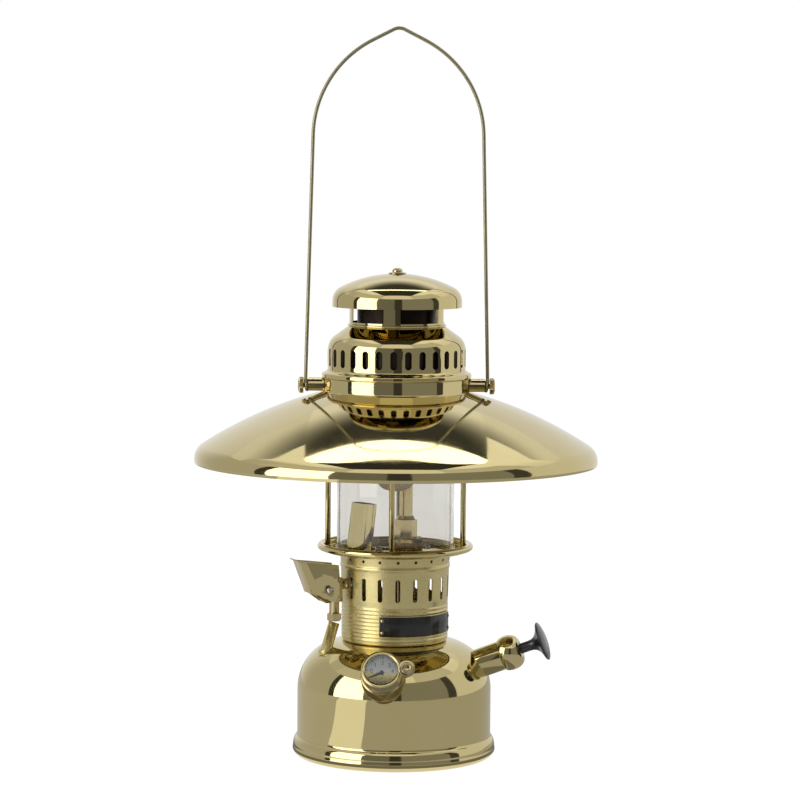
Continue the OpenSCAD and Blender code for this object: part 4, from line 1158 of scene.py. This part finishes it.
@dataclass
class Collar:
    """The slotted collar with its ribs, and the bare label plate on it."""

    radius: float = 44.6
    low: float = 97.0
    high: float = 172.0
    sheet: float = 0.9
    inset: float = 0.35
    ribs: int = 9
    rib_z: float = 3.4
    rib_pitch: float = 3.2
    rib_h: float = 0.5
    slots: int = 19
    first_slot: float = -86.8
    skip: tuple[int, ...] = (15,)
    slot_w: float = 4.1
    slot_h: float = 19.0
    # Drops from the top to the low end, the middle and the high end of the openings' band
    slot_drop: Three = (39.0, 28.5, 18.0)
    hole_d: float = 2.6
    hole_drop: Three = (6.6, 4.8, 3.0)
    plate_edge: float = 0.2

    def build(self) -> None:
        """Spin the pierced wall, then the plate and its rivets."""
        r, z0, z1 = self.radius, self.low, self.high
        r0, rib_r = r - self.inset, r - self.inset + self.rib_h
        line = [(r0 - 9.5, z0), (r0 - 2, z0), (r0 - 0.6, z0 + 0.6), (r0, z0 + 2)]
        for i in range(self.ribs):
            z = z0 + self.rib_z + i * self.rib_pitch
            line += [(r0, z), (rib_r, z + 0.8), (rib_r, z + 1.6), (r0, z + 2.4)]
        line += [(r, z1 - 39), (r + 0.7, z1 - 13.4), (r + 1.5, z1 - 12), (r + 1.5, z1 - 10.4),
                 (r + 0.9, z1 - 9.4), (r + 1.5, z1 - 2), (r + 2.2, z1 - 0.8), (r + 2.2, z1)]
        line = eased(line, 0.6, 3)
        w, d = self.slot_w, self.hole_d
        low, middle, high = (z1 - drop for drop in self.slot_drop)
        tall = Cut(self.slots, self.first_slot, w, self.slot_h, middle, w / 2, low, high,
                   skip=self.skip)
        low, middle, high = (z1 - drop for drop in self.hole_drop)
        small = Cut(self.slots, self.first_slot, d, d, middle, d / 2, low, high, skip=self.skip)
        wall = Shape().wall(line, [tall, small], self.sheet)
        wall.piece("collar_wall", Kind.SATIN, "collar", facing=False)
        smooth_copies(Kind.ENAMEL, "label_plate", bevel=self.plate_edge)
        smooth_copies(Kind.BRASS, "label_rivets")


@dataclass
class Cage:
    """Floor, rods, top ring and glass globe of the cage."""

    globe_r: float = 48.95
    wall: float = 2.2
    low: float = 172.8
    high: float = 299.0

    def build(self) -> None:
        """Spin the globe with fire-polished ends and copy the rest."""
        r, q = self.globe_r, self.globe_r - self.wall
        line = eased([(q, self.low + 1.1), (q, self.low), (r, self.low), (r, self.high),
                      (q, self.high), (q, self.low + 1.1)], 0.9, 4)[:-1]
        globe = Shape().spin(line, 192, closed=True)
        globe.piece("globe_glass", Kind.GLOBE, "globe", sharp=60)
        smooth_copies(Kind.BRASS, "cage_floor", "cage_rods", "cage_top_ring")
        smooth_copies(Kind.STEEL, "floor_screws")


# ---------------------------------------------------------------- hood, burner, shade and bail

@dataclass
class Hood:
    """The slotted hood with its neck, mushroom cap and nut."""

    radius: float = 57.5
    low: float = 316.7
    wall_h: float = 23.9
    shoulder_r: float = 14.0
    slope: float = 35.6
    sheet: float = 0.8
    lip: float = 4.9
    lip_r: float = 1.6
    slots: int = 30
    first_slot: float = -92.4
    slot_w: float = 5.5
    slot_h: float = 15.0
    # Rises to the low end, the middle and the high end of the openings' band
    slot_rise: Three = (9.2, 17.7, 26.2)
    mouth_r: float = 55.0
    neck_r: float = 39.7
    neck_z: float = 360.54
    neck_reach: Point = (-6.0, 34.0)
    windows: int = 5
    first_window: float = -132.0
    window_share: float = 0.72
    window_h: float = 18.5
    window_rise: Three = (1.5, 12.25, 23.5)
    window_corner: float = 1.5
    cap_r: float = 54.1
    cap_z: float = 376.04
    edge_z: float = 4.9
    edge_r: float = 13.0
    edge_angle: float = 63.0

    def build(self) -> None:
        """Make shell, neck, cap and nut, and copy the inner pieces."""
        self.shell()
        self.neck()
        self.cap()
        # The liner and skirt take a near black finish that is partly painted shade inside the hood
        smooth_copies(Kind.SCALED, "hood_liner", "hood_skirt")

    def shell(self) -> None:
        """Spin the hood's wall with its ring of slots."""
        r, z, lip = self.radius, self.low, self.lip_r
        out = r + self.lip - lip
        shoulder = z + self.wall_h
        line = ([(self.mouth_r, z)] + arc(out, z + lip, lip, -90, 0, 8)
                + arc(out, z + 2 * lip, lip, 10, 50, 5)
                + eased([(r + 2.6, z + 5.2), (r + 1.6, z + 5.8), (r + 0.4, z + 6.8), (r, z + 7.8),
                         (r, z + 9)], 0.8, 4)
                + arc(r - self.shoulder_r, shoulder, self.shoulder_r, 0, 90 - self.slope, 18)
                + [(self.neck_r + 0.8, self.neck_z - 0.8 * math.tan(math.radians(self.slope)))])
        low, middle, high = (z + rise for rise in self.slot_rise)
        slots = Cut(self.slots, self.first_slot, self.slot_w, self.slot_h, middle,
                    self.slot_w / 2, low, high)
        wall = Shape().wall(line, [slots], self.sheet)
        wall.piece("hood_wall", Kind.BRASS, "hood_shell", facing=False)

    def neck(self) -> None:
        """Spin the neck with its windows and the bead at its root."""
        r, z = self.neck_r, self.neck_z
        wide = 2 * math.pi * r / self.windows * self.window_share
        low, middle, high = (z + rise for rise in self.window_rise)
        windows = Cut(self.windows, self.first_window, wide, self.window_h, middle,
                      self.window_corner, low, high, across=32, up=8)
        neck = Shape().wall([(r, z + rise) for rise in self.neck_reach], [windows], self.sheet)
        bead = arc(r + 0.3, z + 0.55, 1.1, 0, 345, 23)
        neck.join(Shape().spin(bead, 160, closed=True).merge())
        neck.piece("hood_neck_wall", Kind.BRASS, "hood_neck", facing=False)

    def cap(self) -> None:
        """Spin the mushroom cap and its nut."""
        a = math.radians(self.edge_angle)
        edge_z = self.cap_z + self.edge_z
        x0 = self.cap_r - self.edge_r * (1 - math.cos(a))
        z0 = edge_z + self.edge_r * math.sin(a)
        crown = x0 / math.cos(a)
        middle = z0 - crown * math.sin(a)
        top = middle + crown
        line = ([(self.cap_r, self.cap_z)]
                + arc(self.cap_r - self.edge_r, edge_z, self.edge_r, 0, self.edge_angle, 18)
                + arc(0.0, middle, crown, self.edge_angle, 90, 24)[1:])
        cap = Shape().spin(line + moved(line, self.sheet)[::-1], 160, closed=True)
        cap.piece("mushroom_cap", Kind.BRASS, "hood_cap", sharp=50)
        nut = eased([(0.0, top - 5), (2.1, top - 5), (2.1, top), (7.5, top), (7.5, top + 0.7),
                     (4.3, top + 1.1), (4.3, top + 2.6), (3.6, top + 3.7), (2.2, top + 4.5),
                     (0.0, top + 4.7)], 0.35, 3)
        Shape().spin(nut, 48).piece("crown_nut", Kind.FITTING, "cap_nut")


@dataclass
class Burner:
    """The burner under the hood with its mantle."""

    mantle_r: float = 18.0
    mantle_h: float = 60.0
    mantle_z: float = 222.0
    mouth_r: float = 9.9
    ash: float = 0.55
    stitches: int = 84
    thread: float = 0.32
    tie_r: float = 0.55

    def build(self) -> None:
        """Copy the metal and the nozzle, and make the mantle."""
        smooth_copies(Kind.HEATED, "burner_plate", "mixing_tube", "mixing_chamber")
        smooth_copies(Kind.CERAMIC, "ceramic_nozzle")
        self.mantle()

    def mantle(self) -> None:
        """Spin the mantle's bag, lay its net of stitches on it and tie its mouth."""
        r, h, z, n = self.mantle_r, self.mantle_h, self.mantle_z, self.mouth_r
        shares = [(0.0, 0.0), (0.3, 0.0), (0.58, 0.022), (0.82, 0.08), (0.95, 0.18), (1.0, 0.36),
                  (0.98, 0.55), (0.86, 0.733), (0.66, 0.883)]
        line = [(r * x, z + h * y) for x, y in shares]
        line += [(n + 0.5, z + h * 0.97), (n + 0.1, z + h * 1.0), (n + 0.1, z + h * 1.06)]
        line = eased(line, 6.0, 5)
        sleeve = Shape().spin(line + moved(line, self.ash)[::-1], 96).merge()
        rows = [(max(x, 0.6), y) for x, y in moved(line, 0.1)][2:]
        net = Shape().spin(rows, self.stitches).merge()
        bmesh.ops.wireframe(net.bm, faces=net.bm.faces[:], thickness=self.thread,
                            use_even_offset=True, use_boundary=True, use_replace=True)
        ring = arc(n + 0.45, z + h * 1.02, self.tie_r, 0, 330, 11)
        tie = Shape().spin(ring, 64, closed=True).merge()
        # The mantle's finish carries painted shade and painted brass-reflected light in its beige
        # brown tint
        sleeve.join(net).join(tie).piece("mantle_sleeve", Kind.MANTLE, "mantle", facing=False)


@dataclass
class Shade:
    """The wide spun shade."""

    neck_r: float = 60.2
    neck_top: float = 316.7
    neck_low: float = 303.8
    leaf_z: float = 305.6
    slope_in: float = 14.6
    slope_out: float = 33.0
    outer_r: float = 168.4
    rim_r: float = 14.0
    rim_turn: float = 102.0
    sheet: float = 0.8
    neck_wall: float = 1.6

    def build(self) -> None:
        """Spin the leaf with its turned-down rim, and the neck that stands on it."""
        a, b = math.radians(self.slope_in), math.radians(self.slope_out)
        end_r = self.outer_r - self.rim_r * (1 - math.sin(b))
        big = (end_r - self.neck_r) / (math.sin(b) - math.sin(a))
        middle_x = self.neck_r - big * math.sin(a)
        middle_z = self.leaf_z - big * math.cos(a)
        leaf = arc(middle_x, middle_z, big, 90 - self.slope_in, 90 - self.slope_out, 48)
        end_z = leaf[-1][1]
        rim = arc(end_r - self.rim_r * math.sin(b), end_z - self.rim_r * math.cos(b), self.rim_r,
                  90 - self.slope_out, 90 - self.rim_turn, 20)
        sheet = leaf + rim[1:]
        under = moved(sheet, -self.sheet)[::-1]
        neck = eased([(self.neck_r, self.neck_top), (self.neck_r, self.leaf_z), leaf[4]], 1.6, 5)
        line = neck[:-1] + leaf[4:] + rim[1:] + under[:-1]
        inner = self.neck_r - self.neck_wall
        line += [(inner, self.neck_low), (inner, self.neck_top)]
        Shape().spin(line, 256, closed=True).piece("shade_leaf", Kind.BRASS, "shade", sharp=40)


@dataclass
class Bail:
    """The wire bail with its wound eyes, the thumb screws and their bushes."""

    wire_r: float = 1.5
    pivot: float = 310.3
    eye_x: float = 75.8
    eye_r: float = 3.78
    eye_from: float = 110.0
    eye_step: float = 11.6
    eye_steps: int = 30
    eye_pitch: float = 0.093
    leg_lean: float = 1.4
    bend_r: float = 90.0
    roof: float = 27.0
    peak_r: float = 10.0
    top: float = 608.0
    screw_x: float = 55.2
    screw_r: float = 2.2
    head_x: float = 77.55
    head_r: float = 6.7
    groove: float = 0.45

    def build(self) -> None:
        """Bend the wire, turn the screws and copy the bushes."""
        self.wire()
        x, q, h, r = self.screw_x, self.screw_r, self.head_x, self.head_r
        line = [(0.0, x), (q - 0.2, x), (q, x + 0.4), (q, h), (r - 0.5, h), (r, h + 0.55),
                (r, h + 3.15), (r - 0.5, h + 3.75), (r - 1.3, h + 4.05), (r - 2.1, h + 4.5),
                (0.0, h + 4.5)]
        for side, name in ((1, "hood_screw_right"), (-1, "hood_screw_left")):
            screw = Shape().spin(eased(line, 0.3, 2), 72).knurl(r - 0.35, self.groove, 36)
            screw.put(shifted(0, 0, self.pivot) @ turned("Y", 90 * side))
            screw.piece(name + "_knurled", Kind.FITTING, name)
        smooth_copies(Kind.FITTING, "screw_bushes")

    def half(self) -> list[Vector]:
        """Give the middle line of the right half.

        Returns:
            The points from the top down to the end of the eye.
        """
        lean, roof = math.radians(self.leg_lean), math.radians(self.roof)
        peak = self.top - self.wire_r - self.peak_r
        points = [(x, 0.0, z) for x, z in arc(0.0, peak, self.peak_r, 90, 90 - self.roof, 6)]
        # The roof and the leg meet in a bend that touches both
        start, base = Vector((points[-1][0], points[-1][2])), Vector((self.eye_x, self.pivot))
        run = Vector((math.cos(roof), -math.sin(roof)))
        rise = Vector((-math.sin(lean), math.cos(lean)))
        gap = base - start
        cross = run.x * rise.y - run.y * rise.x
        corner = start + run * ((gap.x * rise.y - gap.y * rise.x) / cross)
        cut = self.bend_r * math.tan((math.pi / 2 - roof - lean) / 2)
        middle = corner - run * cut - Vector((math.sin(roof), math.cos(roof))) * self.bend_r
        bend = arc(middle.x, middle.y, self.bend_r, 90 - self.roof, self.leg_lean, 24)
        points += [(x, 0.0, z) for x, z in bend]
        x, z, top = self.eye_x, self.pivot, self.pivot + self.eye_r
        points += [(x, 0.0, top + 5.0), (x, -0.1, top + 2.6), (x, -0.7, top + 0.9)]
        last = self.eye_from + self.eye_step * self.eye_steps
        eye = arc(0.0, z, self.eye_r, self.eye_from, last, self.eye_steps)
        points += [(x - self.eye_pitch * i, y, up) for i, (y, up) in enumerate(eye)]
        return [Vector(p) for p in points]

    def wire(self) -> None:
        """Sweep the wire along its line as a round curve and make it a mesh."""
        right = self.half()
        left = [Vector((-p.x, p.y, p.z)) for p in right]
        curve = bpy.data.curves.new("bail_wire", "CURVE")
        curve.dimensions, curve.bevel_depth, curve.bevel_resolution = "3D", self.wire_r, 4
        curve.use_fill_caps = True
        spline = curve.splines.new("POLY")
        points = left[::-1] + right[1:]
        spline.points.add(len(points) - 1)
        for spot, p in zip(spline.points, points):
            spot.co = (*p, 1.0)
        Shape().drawn(curve).piece("bail_bent_wire", Kind.WIRE, "bail", sharp=60)


def main() -> None:
    """Build the studio and the lantern's sub-assemblies in order."""
    logging.basicConfig(level=logging.INFO, format="%(name)s: %(message)s")
    Studio().build()
    tank = Tank()
    for part in (tank, Filler(tank.filler), Pump(tank.pump), Preheater(), Vaporiser(), Collar(),
                 Cage(), Hood(), Burner(), Shade(), Bail()):
        part.build()
        LOG.info("%s done", type(part).__name__)


if __name__ == "__main__":
    main()
